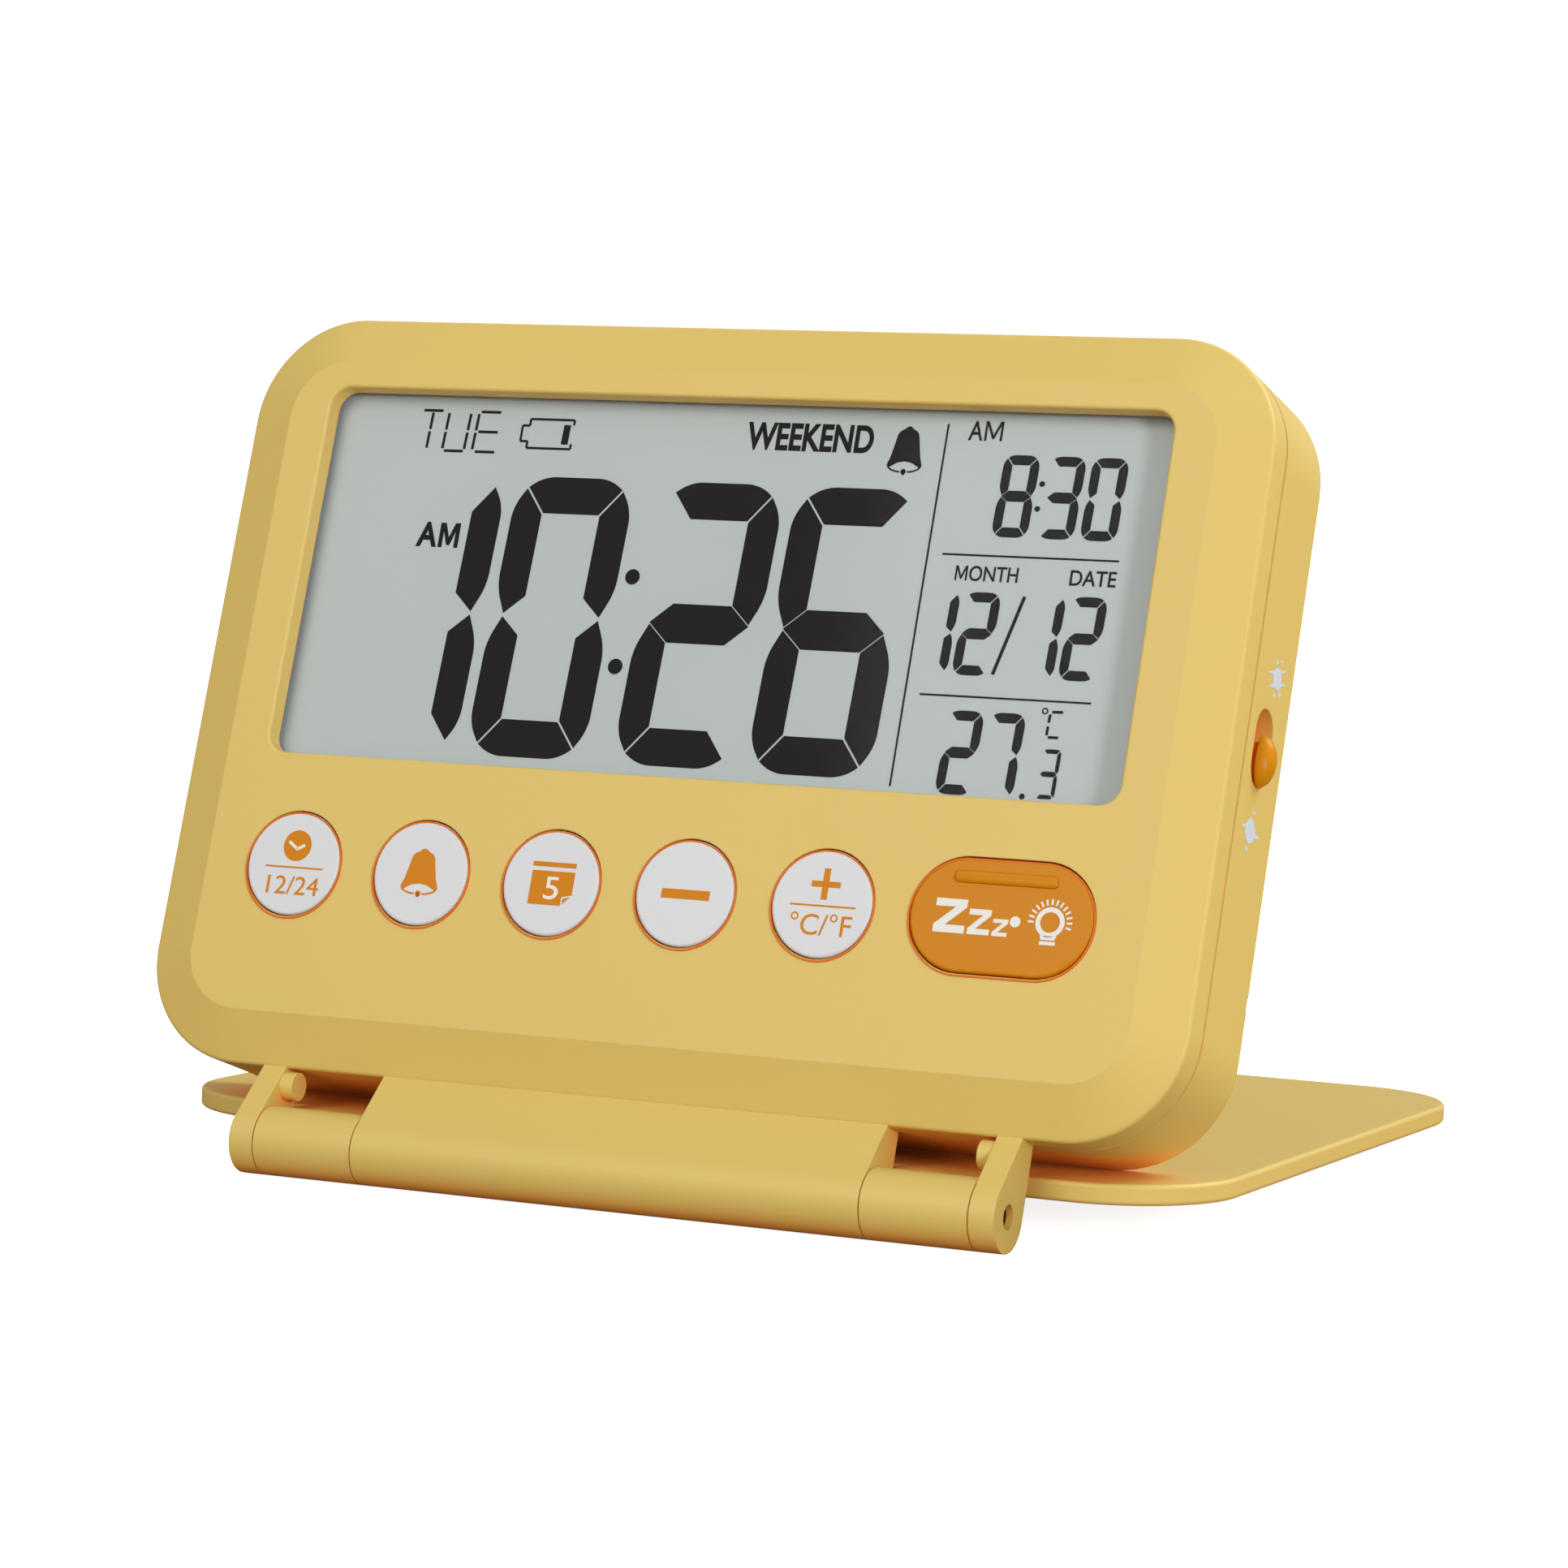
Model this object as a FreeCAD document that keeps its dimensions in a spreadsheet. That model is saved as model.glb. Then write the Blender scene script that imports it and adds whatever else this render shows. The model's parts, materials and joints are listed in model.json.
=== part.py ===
import FreeCAD, Part
import Sketcher
import math
import os
from types import SimpleNamespace

# A foldable digital travel alarm clock, in millimetres.
#
# The clock's pieces are drawn in the clock's own frame: its origin is the middle of the front panel's face,
# +X to the right, +Y up the face and +Z out of it. The cover that serves as the stand is drawn in a frame on
# the hinge axis: +Y along its plate away from the hinge, +Z out of its outer face. The placements near the
# end lean both back as they stand on a table: +Z up, the face towards -Y, the origin on the table under the
# middle of the whole.

SIZES = {
    # Body
    "body_width": 95.0,
    "body_height": 66.6,
    "corner_radius": 9.5,
    "bevel_width": 4.4,
    "bevel_depth": 1.65,
    "bevel_edge_radius": 0.4,
    "front_depth": 4.85,
    "groove_width": 0.35,
    "groove_depth": 0.15,
    "rear_edge_radius": 1.2,
    "wall": 1.8,
    "panel_wall": 1.7,
    "shoulder_wall": 1.3,
    "shoulder_inset": 3.4,
    "back_wall": 1.6,
    "lip_height": 1.0,
    "lip_thickness": 0.8,
    "catch_width": 6.0,
    "catch_height": 0.5,
    "catch_reach": 0.3,
    "catch_spread": 40.0,
    "notch_width": 1.2,
    "notch_height": 1.1,
    "notch_depth": 0.4,
    "notch_drop": 18.9,
    # Clearances
    "fit_gap": 0.1,
    "seat_gap": 0.05,
    "thread_gap": 0.02,
    # Display
    "window_side": 8.2,
    "window_top": 6.7,
    "window_foot": 27.0,
    "window_radius": 1.8,
    "window_edge_radius": 0.25,
    "lens_border": 1.5,
    "lens_thickness": 0.6,
    "tape_thickness": 0.1,
    "tape_width": 1.3,
    "glass_border": 0.6,
    "glass_thickness": 0.95,
    "glass_ledge": 1.8,
    "guide_thickness": 1.6,
    "reflector_thickness": 0.15,
    "holder_wall": 0.8,
    "led_width": 1.5,
    "led_height": 3.0,
    "zebra_width": 1.4,
    # Buttons
    "button_diameter": 9.0,
    "button_side": 13.0,
    "button_foot": 17.3,
    "cap_spacing": 3.27,
    "button_gap": 0.12,
    "button_proud": 0.1,
    "button_edge": 0.25,
    "button_travel": 0.5,
    "flange_width": 0.45,
    "flange_thickness": 0.8,
    "snooze_length": 15.9,
    "snooze_width": 9.4,
    "snooze_side": 16.6,
    "ridge_length": 8.9,
    "ridge_width": 0.8,
    "ridge_height": 0.2,
    "ridge_edge": 0.15,
    "ridge_rise": 3.2,
    "switch_side": 5.2,
    "switch_height": 2.5,
    "plunger_radius": 1.3,
    "plunger_spare": 0.35,
    "plunger_length": 1.5,
    "plunger_bore": 1.5,
    "stem_radius": 1.5,
    # Circuit board and what it carries
    "board_thickness": 1.0,
    "board_margin": 2.0,
    "board_notch": 2.6,
    "blob_radius": 4.0,
    "blob_height": 1.2,
    "blob_edge": 0.8,
    "blob_rise": 22.0,
    "middle_place": 1.3,
    "crystal_radius": 1.0,
    "crystal_length": 6.0,
    "crystal_rise": 8.0,
    "bead_radius": 1.2,
    "bead_height": 2.4,
    "bead_side": 9.5,
    "bead_foot": 19.3,
    "support_radius": 1.5,
    "support_side": 11.5,
    "support_top": 8.3,
    # Screws
    "board_screw_spread": 10.0,
    "board_post_radius": 1.6,
    "board_screw_radius": 0.8,
    "board_screw_length": 4.0,
    "board_head_radius": 1.5,
    "board_head_height": 1.0,
    "case_screw_side": 6.5,
    "case_screw_foot": 6.8,
    "case_boss_radius": 2.2,
    "case_tube_radius": 3.0,
    "case_screw_radius": 0.9,
    "case_screw_length": 7.0,
    "case_head_radius": 1.8,
    "case_head_height": 1.3,
    "case_screw_reach": 3.0,
    "case_seat_wall": 0.8,
    "screw_play": 0.2,
    "recess_width": 0.4,
    "recess_depth": 0.5,
    "pilot_spare": 0.3,
    # Slide switch
    "slot_length": 6.6,
    "slot_width": 4.1,
    "slot_rise": 1.05,
    "slot_behind_board": 1.05,
    "knob_length": 4.3,
    "knob_width": 2.6,
    "knob_play": 0.2,
    "knob_proud": 1.35,
    "knob_stem_length": 3.3,
    "knob_stem_width": 1.9,
    "knob_flange_overlap": 0.6,
    "knob_flange_thickness": 0.8,
    "actuator_side": 1.5,
    "actuator_bite": 1.1,
    "slide_housing_width": 3.6,
    "slide_housing_length": 8.6,
    "slide_housing_height": 3.0,
    "slide_housing_side": 4.4,
    # Coin cell, its contacts and the bayonet door
    "cell_radius": 10.0,
    "cell_thickness": 3.2,
    "cell_left": 20.0,
    "cell_rise": 6.0,
    "well_gap": 0.3,
    "well_wall": 1.0,
    "well_ceiling": 0.8,
    "leaf_spring_room": 1.0,
    "leaf_thickness": 0.3,
    "leaf_width": 5.0,
    "leaf_length": 12.0,
    "strip_width": 4.0,
    "door_radius": 12.5,
    "door_thickness": 0.75,
    "door_hub_thickness": 0.65,
    "door_gap": 0.15,
    "door_ring_wall": 0.6,
    "door_ledge": 0.8,
    "tab_thickness": 0.85,
    "tab_width": 5.0,
    "tab_reach": 12.1,
    "tab_play": 0.3,
    "race_radius": 12.7,
    "coin_slot_length": 13.0,
    "coin_slot_width": 1.8,
    "coin_slot_depth": 0.6,
    # Buzzer
    "buzzer_radius": 10.0,
    "buzzer_right": 20.0,
    "buzzer_rise": 6.0,
    "buzzer_thickness": 0.3,
    "ceramic_radius": 7.0,
    "ceramic_thickness": 0.25,
    "buzzer_rib_height": 0.6,
    "buzzer_rib_wall": 1.0,
    "sound_slot_length": 9.0,
    "sound_slot_width": 1.2,
    "sound_slot_pitch": 2.8,
    "spring_radius": 1.0,
    "spring_wire": 0.15,
    "spring_turns": 5.0,
    "spring_offset": 8.4,
    # Hinge
    "axis_drop": 6.35,
    "axis_depth": 1.1,
    "barrel_radius": 2.92,
    "ear_side": 12.63,
    "ear_thickness": 2.22,
    "knuckle_width": 9.28,
    "arm_bite": 0.8,
    "hinge_gap": 0.1,
    "pin_radius": 1.0,
    "pin_recess": 0.6,
    "pin_bite": 4.5,
    "pin_fit": 0.01,
    "pin_running_gap": 0.05,
    "lug_radius": 1.2,
    "lug_length": 1.25,
    "lug_reach": 4.9,
    "lug_inset": 0.05,
    # Cover
    "cover_side_overhang": 0.38,
    "cover_far_overhang": 5.61,
    "cover_thickness": 1.7,
    "cover_corner_radius": 10.4,
    "cover_edge_radius": 0.35,
    "cover_setback": 6.06,
    "cover_rise": 0.66,
    "cover_rim": 2.2,
    "cover_recess": 0.8,
    "stop_gap": 0.03,
}

ROUND_BUTTONS = ("clock", "alarm", "calendar", "minus", "plus")
TAB_COUNT = 3
UNLOCK_ANGLE = 45
SOUND_SLOTS = 5
SIDES = (-1, 1)
START, END, CENTRE = 1, 2, 3
ORIGIN = (-1, START)
NEAR = 1e-4
UP = FreeCAD.Vector(0, 0, 1)

document = FreeCAD.newDocument("TravelAlarmClock")
sheet = document.addObject("Spreadsheet::Sheet", "Sizes")
for row, (alias, number) in enumerate(SIZES.items(), start=1):
    sheet.set(f"A{row}", str(number))
    sheet.setAlias(f"A{row}", alias)
document.recompute()


class Length:
    """A length: its formula over the sheet's cells, and its present value."""

    def __init__(self, formula, value):
        self.formula = formula
        self.value = value

    def __add__(self, other):
        other = length(other)
        return Length(f"({self.formula} + {other.formula})", self.value + other.value)

    def __sub__(self, other):
        other = length(other)
        return Length(f"({self.formula} - {other.formula})", self.value - other.value)

    def __mul__(self, other):
        other = length(other)
        return Length(f"({self.formula} * {other.formula})", self.value * other.value)

    def __truediv__(self, other):
        other = length(other)
        return Length(f"({self.formula} / {other.formula})", self.value / other.value)

    def __rsub__(self, other):
        return length(other) - self

    def __neg__(self):
        return 0 - self

    __radd__ = __add__
    __rmul__ = __mul__


def length(number):
    """A plain number as a length, and a length as itself."""
    if isinstance(number, Length):
        return number
    return Length(f"({number})", number)


def root(square):
    """The side of a square."""
    return Length(f"sqrt({square.formula})", math.sqrt(square.value))


size = SimpleNamespace(**{alias: Length("Sizes." + alias, float(sheet.get(alias))) for alias in SIZES})
pieces = []
cuts = []


# Drawing helpers

def bind(target, prop, amount):
    """Tie a property to the sheet."""
    target.setExpression(prop, length(amount).formula)


def dimension(sketch, kind, amount, *places):
    """Add a dimension that follows the sheet."""
    amount = length(amount)
    index = sketch.addConstraint(Sketcher.Constraint(kind, *places, amount.value))
    name = f"{kind}{index}"
    sketch.renameConstraint(index, name)
    bind(sketch, "Constraints." + name, amount)


def relate(sketch, kind, *places):
    """Add a geometric constraint."""
    sketch.addConstraint(Sketcher.Constraint(kind, *places))


def add_line(sketch, start, end):
    segment = Part.LineSegment(FreeCAD.Vector(*start, 0), FreeCAD.Vector(*end, 0))
    return sketch.addGeometry(segment, False)


def add_arc(sketch, centre, radius, first, last):
    """Add an arc that runs anticlockwise between two angles in degrees."""
    circle_of_arc = Part.Circle(FreeCAD.Vector(*centre, 0), UP, radius)
    arc = Part.ArcOfCircle(circle_of_arc, math.radians(first), math.radians(last))
    return sketch.addGeometry(arc, False)


def circle(radius):
    """An outline: a circle about the sketch's origin."""
    def draw(sketch):
        ring = sketch.addGeometry(Part.Circle(FreeCAD.Vector(), UP, radius.value), False)
        relate(sketch, "Coincident", ring, CENTRE, *ORIGIN)
        dimension(sketch, "Radius", radius, ring)
    return draw


def offset_circle(radius, offset):
    """An outline: a circle on the sketch's X axis, at an offset from its origin."""
    def draw(sketch):
        ring = sketch.addGeometry(Part.Circle(FreeCAD.Vector(offset.value, 0, 0), UP, radius.value), False)
        relate(sketch, "PointOnObject", ring, CENTRE, ORIGIN[0])
        dimension(sketch, "DistanceX", offset, *ORIGIN, ring, CENTRE)
        dimension(sketch, "Radius", radius, ring)
    return draw


def add_four_lines(sketch, left, right, bottom, top):
    """Join four lines into a rectangle: bottom, right, top, left."""
    corners = ((left, bottom), (right, bottom), (right, top), (left, top))
    lines = [add_line(sketch, corners[i], corners[(i + 1) % 4]) for i in range(4)]
    for i in range(4):
        relate(sketch, "Coincident", lines[i], END, lines[(i + 1) % 4], START)
    relate(sketch, "Horizontal", lines[0])
    relate(sketch, "Vertical", lines[1])
    relate(sketch, "Horizontal", lines[2])
    return lines


def rectangle(width, height):
    """An outline: a rectangle about the sketch's origin."""
    def draw(sketch):
        right = width.value / 2
        top = height.value / 2
        lines = add_four_lines(sketch, -right, right, -top, top)
        relate(sketch, "Vertical", lines[3])
        relate(sketch, "Symmetric", lines[0], START, lines[1], END, *ORIGIN)
        dimension(sketch, "DistanceX", width, lines[0], START, lines[0], END)
        dimension(sketch, "DistanceY", height, lines[1], START, lines[1], END)
    return draw


def tab(inner, outer, width):
    """An outline: a rectangle along the sketch's X axis, from one distance to another from its origin."""
    def draw(sketch):
        half = width.value / 2
        lines = add_four_lines(sketch, inner.value, outer.value, -half, half)
        relate(sketch, "Symmetric", lines[3], START, lines[3], END, ORIGIN[0])
        dimension(sketch, "DistanceX", inner, *ORIGIN, lines[0], START)
        dimension(sketch, "DistanceX", outer - inner, lines[0], START, lines[0], END)
        dimension(sketch, "DistanceY", width, lines[1], START, lines[1], END)
    return draw


def rounded_rectangle(width, height, radius):
    """An outline: a rectangle with round corners about the sketch's origin."""
    def draw(sketch):
        right = width.value / 2
        top = height.value / 2
        reach_x = right - radius.value
        reach_y = top - radius.value
        centres = ((reach_x, -reach_y), (reach_x, reach_y), (-reach_x, reach_y), (-reach_x, -reach_y))
        arcs = [add_arc(sketch, centre, radius.value, 90 * (i - 1), 90 * i)
                for i, centre in enumerate(centres)]
        ends = (((right, -reach_y), (right, reach_y)), ((reach_x, top), (-reach_x, top)),
                ((-right, reach_y), (-right, -reach_y)), ((-reach_x, -top), (reach_x, -top)))
        lines = [add_line(sketch, *pair) for pair in ends]
        for i in range(4):
            relate(sketch, "Tangent", arcs[i], END, lines[i], START)
            relate(sketch, "Tangent", lines[i], END, arcs[(i + 1) % 4], START)
            relate(sketch, ("Vertical", "Horizontal")[i % 2], lines[i])
        for arc in arcs[1:]:
            relate(sketch, "Equal", arcs[0], arc)
        relate(sketch, "Symmetric", arcs[0], CENTRE, arcs[2], CENTRE, *ORIGIN)
        dimension(sketch, "Radius", radius, arcs[0])
        dimension(sketch, "DistanceX", width, lines[2], START, lines[0], START)
        dimension(sketch, "DistanceY", height, lines[3], START, lines[1], START)
    return draw


def stadium(overall, width):
    """An outline: a bar with full round ends along the sketch's X axis, about its origin."""
    def draw(sketch):
        radius = width.value / 2
        reach = (overall.value - width.value) / 2
        right = add_arc(sketch, (reach, 0), radius, -90, 90)
        left = add_arc(sketch, (-reach, 0), radius, 90, 270)
        top = add_line(sketch, (reach, radius), (-reach, radius))
        bottom = add_line(sketch, (-reach, -radius), (reach, -radius))
        relate(sketch, "Tangent", right, END, top, START)
        relate(sketch, "Tangent", top, END, left, START)
        relate(sketch, "Tangent", left, END, bottom, START)
        relate(sketch, "Tangent", bottom, END, right, START)
        relate(sketch, "Equal", right, left)
        relate(sketch, "Horizontal", top)
        relate(sketch, "Symmetric", right, CENTRE, left, CENTRE, *ORIGIN)
        dimension(sketch, "Radius", width / 2, right)
        dimension(sketch, "DistanceX", overall - width, left, CENTRE, right, CENTRE)
    return draw


def both(first, second):
    """An outline made of two, one inside the other."""
    def draw(sketch):
        first(sketch)
        second(sketch)
    return draw


def new_body(name):
    """Start a piece. Its label names its file."""
    body = document.addObject("PartDesign::Body", name)
    body.Label = name
    pieces.append(body)
    return body


def attach(item, body, plane, at, level, turn=0):
    """Set an item on one of the body's planes, its origin at a place, a level along the normal."""
    support = next(origin for origin in body.Origin.OriginFeatures if origin.Role == plane)
    item.AttachmentSupport = [(support, "")]
    item.MapMode = "FlatFace"
    item.AttachmentOffset = FreeCAD.Placement(FreeCAD.Vector(), FreeCAD.Rotation(UP, turn))
    for axis, amount in zip("xyz", (*at, level)):
        bind(item, "AttachmentOffset.Base." + axis, amount)


def new_sketch(body, name, outline, plane, at, level, turn=0):
    """Draw an outline on one of the body's planes."""
    sketch = body.newObject("Sketcher::SketchObject", name)
    attach(sketch, body, plane, at, level, turn)
    outline(sketch)
    return sketch


def prism(body, name, outline, low, high, at=(0, 0), plane="XY_Plane", cut=False, turn=0):
    """Extrude an outline between two levels along its plane's normal, adding to the body or cutting it."""
    sketch = new_sketch(body, name + "Sketch", outline, plane, at, low, turn)
    feature = body.newObject("PartDesign::Pocket" if cut else "PartDesign::Pad", name)
    feature.Profile = sketch
    feature.Reversed = cut
    bind(feature, "Length", high - low)
    if cut:
        cuts.append(feature)
    return feature


def dome(body, name, length, width, rise, at, level, plane):
    """Half an ellipsoid that stands on a level, its length along the plane's X axis."""
    cap = body.newObject("PartDesign::AdditiveEllipsoid", name)
    attach(cap, body, plane, at, level)
    for radius, amount in zip(("Radius1", "Radius2", "Radius3"), (rise, length / 2, width / 2)):
        bind(cap, radius, amount)
    cap.Angle1 = 0
    return cap


def repeat_round(body, feature, count):
    """Repeat a feature evenly about its sketch's origin."""
    pattern = body.newObject("PartDesign::PolarPattern", feature.Name + "Pattern")
    pattern.Originals = [feature]
    pattern.Axis = (feature.Profile[0], ["N_Axis"])
    pattern.Angle = 360
    pattern.Occurrences = count
    body.Tip = pattern


def round_edges(body, name, radius, chosen):
    """Fillet those edges of the body so far for which chosen is true."""
    document.recompute()
    base = body.Tip
    names = [f"Edge{i}" for i, edge in enumerate(base.Shape.Edges, start=1) if chosen(edge)]
    fillet = body.newObject("PartDesign::Fillet", name)
    fillet.Base = (base, names)
    bind(fillet, "Radius", radius)


def at_level(level, axis="z"):
    """Chooses edges that lie wholly at one level."""
    def chosen(edge):
        box = edge.BoundBox
        low, high = {"x": (box.XMin, box.XMax), "z": (box.ZMin, box.ZMax)}[axis]
        return abs(low - level.value) < NEAR and abs(high - level.value) < NEAR
    return chosen


def inset_outline(inset):
    """The body's outline, drawn in all round."""
    return rounded_rectangle(size.body_width - 2 * inset, size.body_height - 2 * inset,
                             size.corner_radius - inset)


def window_outline(border):
    """The window's outline, grown all round."""
    return rounded_rectangle(window_width + 2 * border, window_height + 2 * border,
                             size.window_radius + border)


def span(side, inner, outer):
    """The levels between two distances from the middle, on the left (-1) or the right (1)."""
    middle = side * (inner + outer) / 2
    half = (outer - inner) / 2
    return middle - half, middle + half


# Depths behind the panel's face, from the window to the back

lens_front = size.panel_wall + size.tape_thickness
lens_back = lens_front + size.lens_thickness
glass_front = lens_back + size.fit_gap
glass_middle = glass_front + size.glass_thickness
glass_back = glass_middle + size.glass_thickness
guide_front = glass_back + size.fit_gap
guide_back = guide_front + size.guide_thickness
reflector_front = guide_back + size.fit_gap
reflector_back = reflector_front + size.reflector_thickness
board_front = reflector_back + size.fit_gap
board_back = board_front + size.board_thickness
slot_depth = board_back + size.slot_behind_board
shoulder_depth = size.bevel_depth + size.shoulder_wall
flange_front = size.panel_wall + size.fit_gap
flange_back = flange_front + size.flange_thickness
switch_front = board_front - size.switch_height
plunger_front = switch_front - size.button_travel - size.plunger_spare
boss_end = board_front - size.fit_gap
tube_end = boss_end + size.seat_gap

# The cell lies between its two contacts. Depths from the board's back to the door, whose face is the clock's
# back:

leaf_front = board_back + size.well_ceiling + 2 * size.fit_gap + size.leaf_spring_room
leaf_back = leaf_front + size.leaf_thickness
cell_front = leaf_back + size.seat_gap
cell_back = cell_front + size.cell_thickness
door_inner = cell_back + size.fit_gap
disc_front = door_inner + size.door_hub_thickness
body_depth = disc_front + size.door_thickness
back_inner = body_depth - size.back_wall
ledge_back = back_inner + size.door_ledge
tab_back = back_inner - size.fit_gap
tab_front = tab_back - size.tab_thickness
race_front = tab_front - size.fit_gap
well_top = leaf_front - size.seat_gap - size.well_ceiling

# Places across the face. Names that end in _side, _top and _foot are distances in from the body's edges.

half_width = size.body_width / 2
half_height = size.body_height / 2
window_width = size.body_width - 2 * size.window_side
window_height = size.body_height - size.window_top - size.window_foot
window_rise = (size.window_foot - size.window_top) / 2
window_at = (0, window_rise)
cell_at = (-size.cell_left, size.cell_rise)
buzzer_at = (size.buzzer_right, size.buzzer_rise)
button_y = size.button_foot - half_height
first_button_x = size.button_side - half_width
snooze_x = half_width - size.snooze_side
last_button_x = snooze_x - size.snooze_length / 2 - size.cap_spacing - size.button_diameter / 2
button_pitch = (last_button_x - first_button_x) / (len(ROUND_BUTTONS) - 1)
button_places = {name: (first_button_x + i * button_pitch, button_y) for i, name in enumerate(ROUND_BUTTONS)}
snooze_at = (snooze_x, button_y)
board_screw_x = (first_button_x + button_pitch / 2,
                 last_button_x + (size.button_diameter + size.cap_spacing) / 2)
board_screw_places = [(x, button_y + side * size.board_screw_spread / 2)
                      for x in board_screw_x for side in SIDES]
case_screw_places = [(side * (half_width - size.case_screw_side), size.case_screw_foot - half_height)
                     for side in SIDES]
slide_housing_edge = half_width - size.slide_housing_side

# The battery well's radii, and its contacts' places

cell_wall = size.cell_radius + size.well_gap
ring_outer = cell_wall + size.fit_gap + size.door_ring_wall
strip_inner = size.cell_radius + size.seat_gap
strip_outer = strip_inner + size.leaf_thickness
leg_at = (-(size.cell_left + size.leaf_length / 2 - size.leaf_thickness / 2), size.cell_rise)

# The hinge in the clock's frame, and the straight front face of its arms. That face touches the barrel and
# ends at the bevel's lower edge; its unit normal has the parts arm_normal_y and arm_normal_z.

axis_y = -(half_height + size.axis_drop)
axis_z = -size.axis_depth
arm_root_y = size.axis_drop
arm_root_z = size.axis_depth - size.bevel_depth
arm_root_square = arm_root_y * arm_root_y + arm_root_z * arm_root_z
arm_tangent = root(arm_root_square - size.barrel_radius * size.barrel_radius)
arm_normal_y = (size.barrel_radius * arm_root_y - arm_root_z * arm_tangent) / arm_root_square
arm_normal_z = (size.barrel_radius * arm_root_z + arm_root_y * arm_tangent) / arm_root_square
ear_outer = half_width - size.ear_side
ear_inner = ear_outer - size.ear_thickness
knuckle_outer = ear_inner - size.hinge_gap
knuckle_inner = knuckle_outer - size.knuckle_width
block_half = knuckle_inner - size.hinge_gap

# The cover closes over the whole face, a little past its sides and its top edge.

cover_width = size.body_width + 2 * size.cover_side_overhang
cover_far = size.axis_drop + size.body_height + size.cover_far_overhang
cover_length = cover_far - size.cover_setback


def arm_outline(sketch):
    """A hinge arm from the side, about the hinge axis."""
    radius = size.barrel_radius
    touch = (radius.value * arm_normal_y.value, radius.value * arm_normal_z.value)
    arm_root = (arm_root_y.value, arm_root_z.value)
    back_y = arm_root_y + size.arm_bite
    first = math.degrees(math.atan2(touch[1], touch[0]))
    barrel = add_arc(sketch, (0, 0), radius.value, first, 270)
    front = add_line(sketch, touch, arm_root)
    bite = add_line(sketch, arm_root, (back_y.value, arm_root[1]))
    end = add_line(sketch, (back_y.value, arm_root[1]), (back_y.value, -radius.value))
    rear = add_line(sketch, (back_y.value, -radius.value), (0, -radius.value))
    relate(sketch, "Coincident", barrel, CENTRE, *ORIGIN)
    relate(sketch, "Tangent", front, START, barrel, START)
    relate(sketch, "Tangent", rear, END, barrel, END)
    relate(sketch, "Coincident", front, END, bite, START)
    relate(sketch, "Coincident", bite, END, end, START)
    relate(sketch, "Coincident", end, END, rear, START)
    relate(sketch, "Horizontal", bite)
    relate(sketch, "Vertical", end)
    relate(sketch, "Horizontal", rear)
    dimension(sketch, "Radius", radius, barrel)
    dimension(sketch, "DistanceX", arm_root_y, *ORIGIN, front, END)
    dimension(sketch, "DistanceY", -arm_root_z, front, END, *ORIGIN)
    dimension(sketch, "DistanceX", size.arm_bite, bite, START, bite, END)


# Casings

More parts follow.
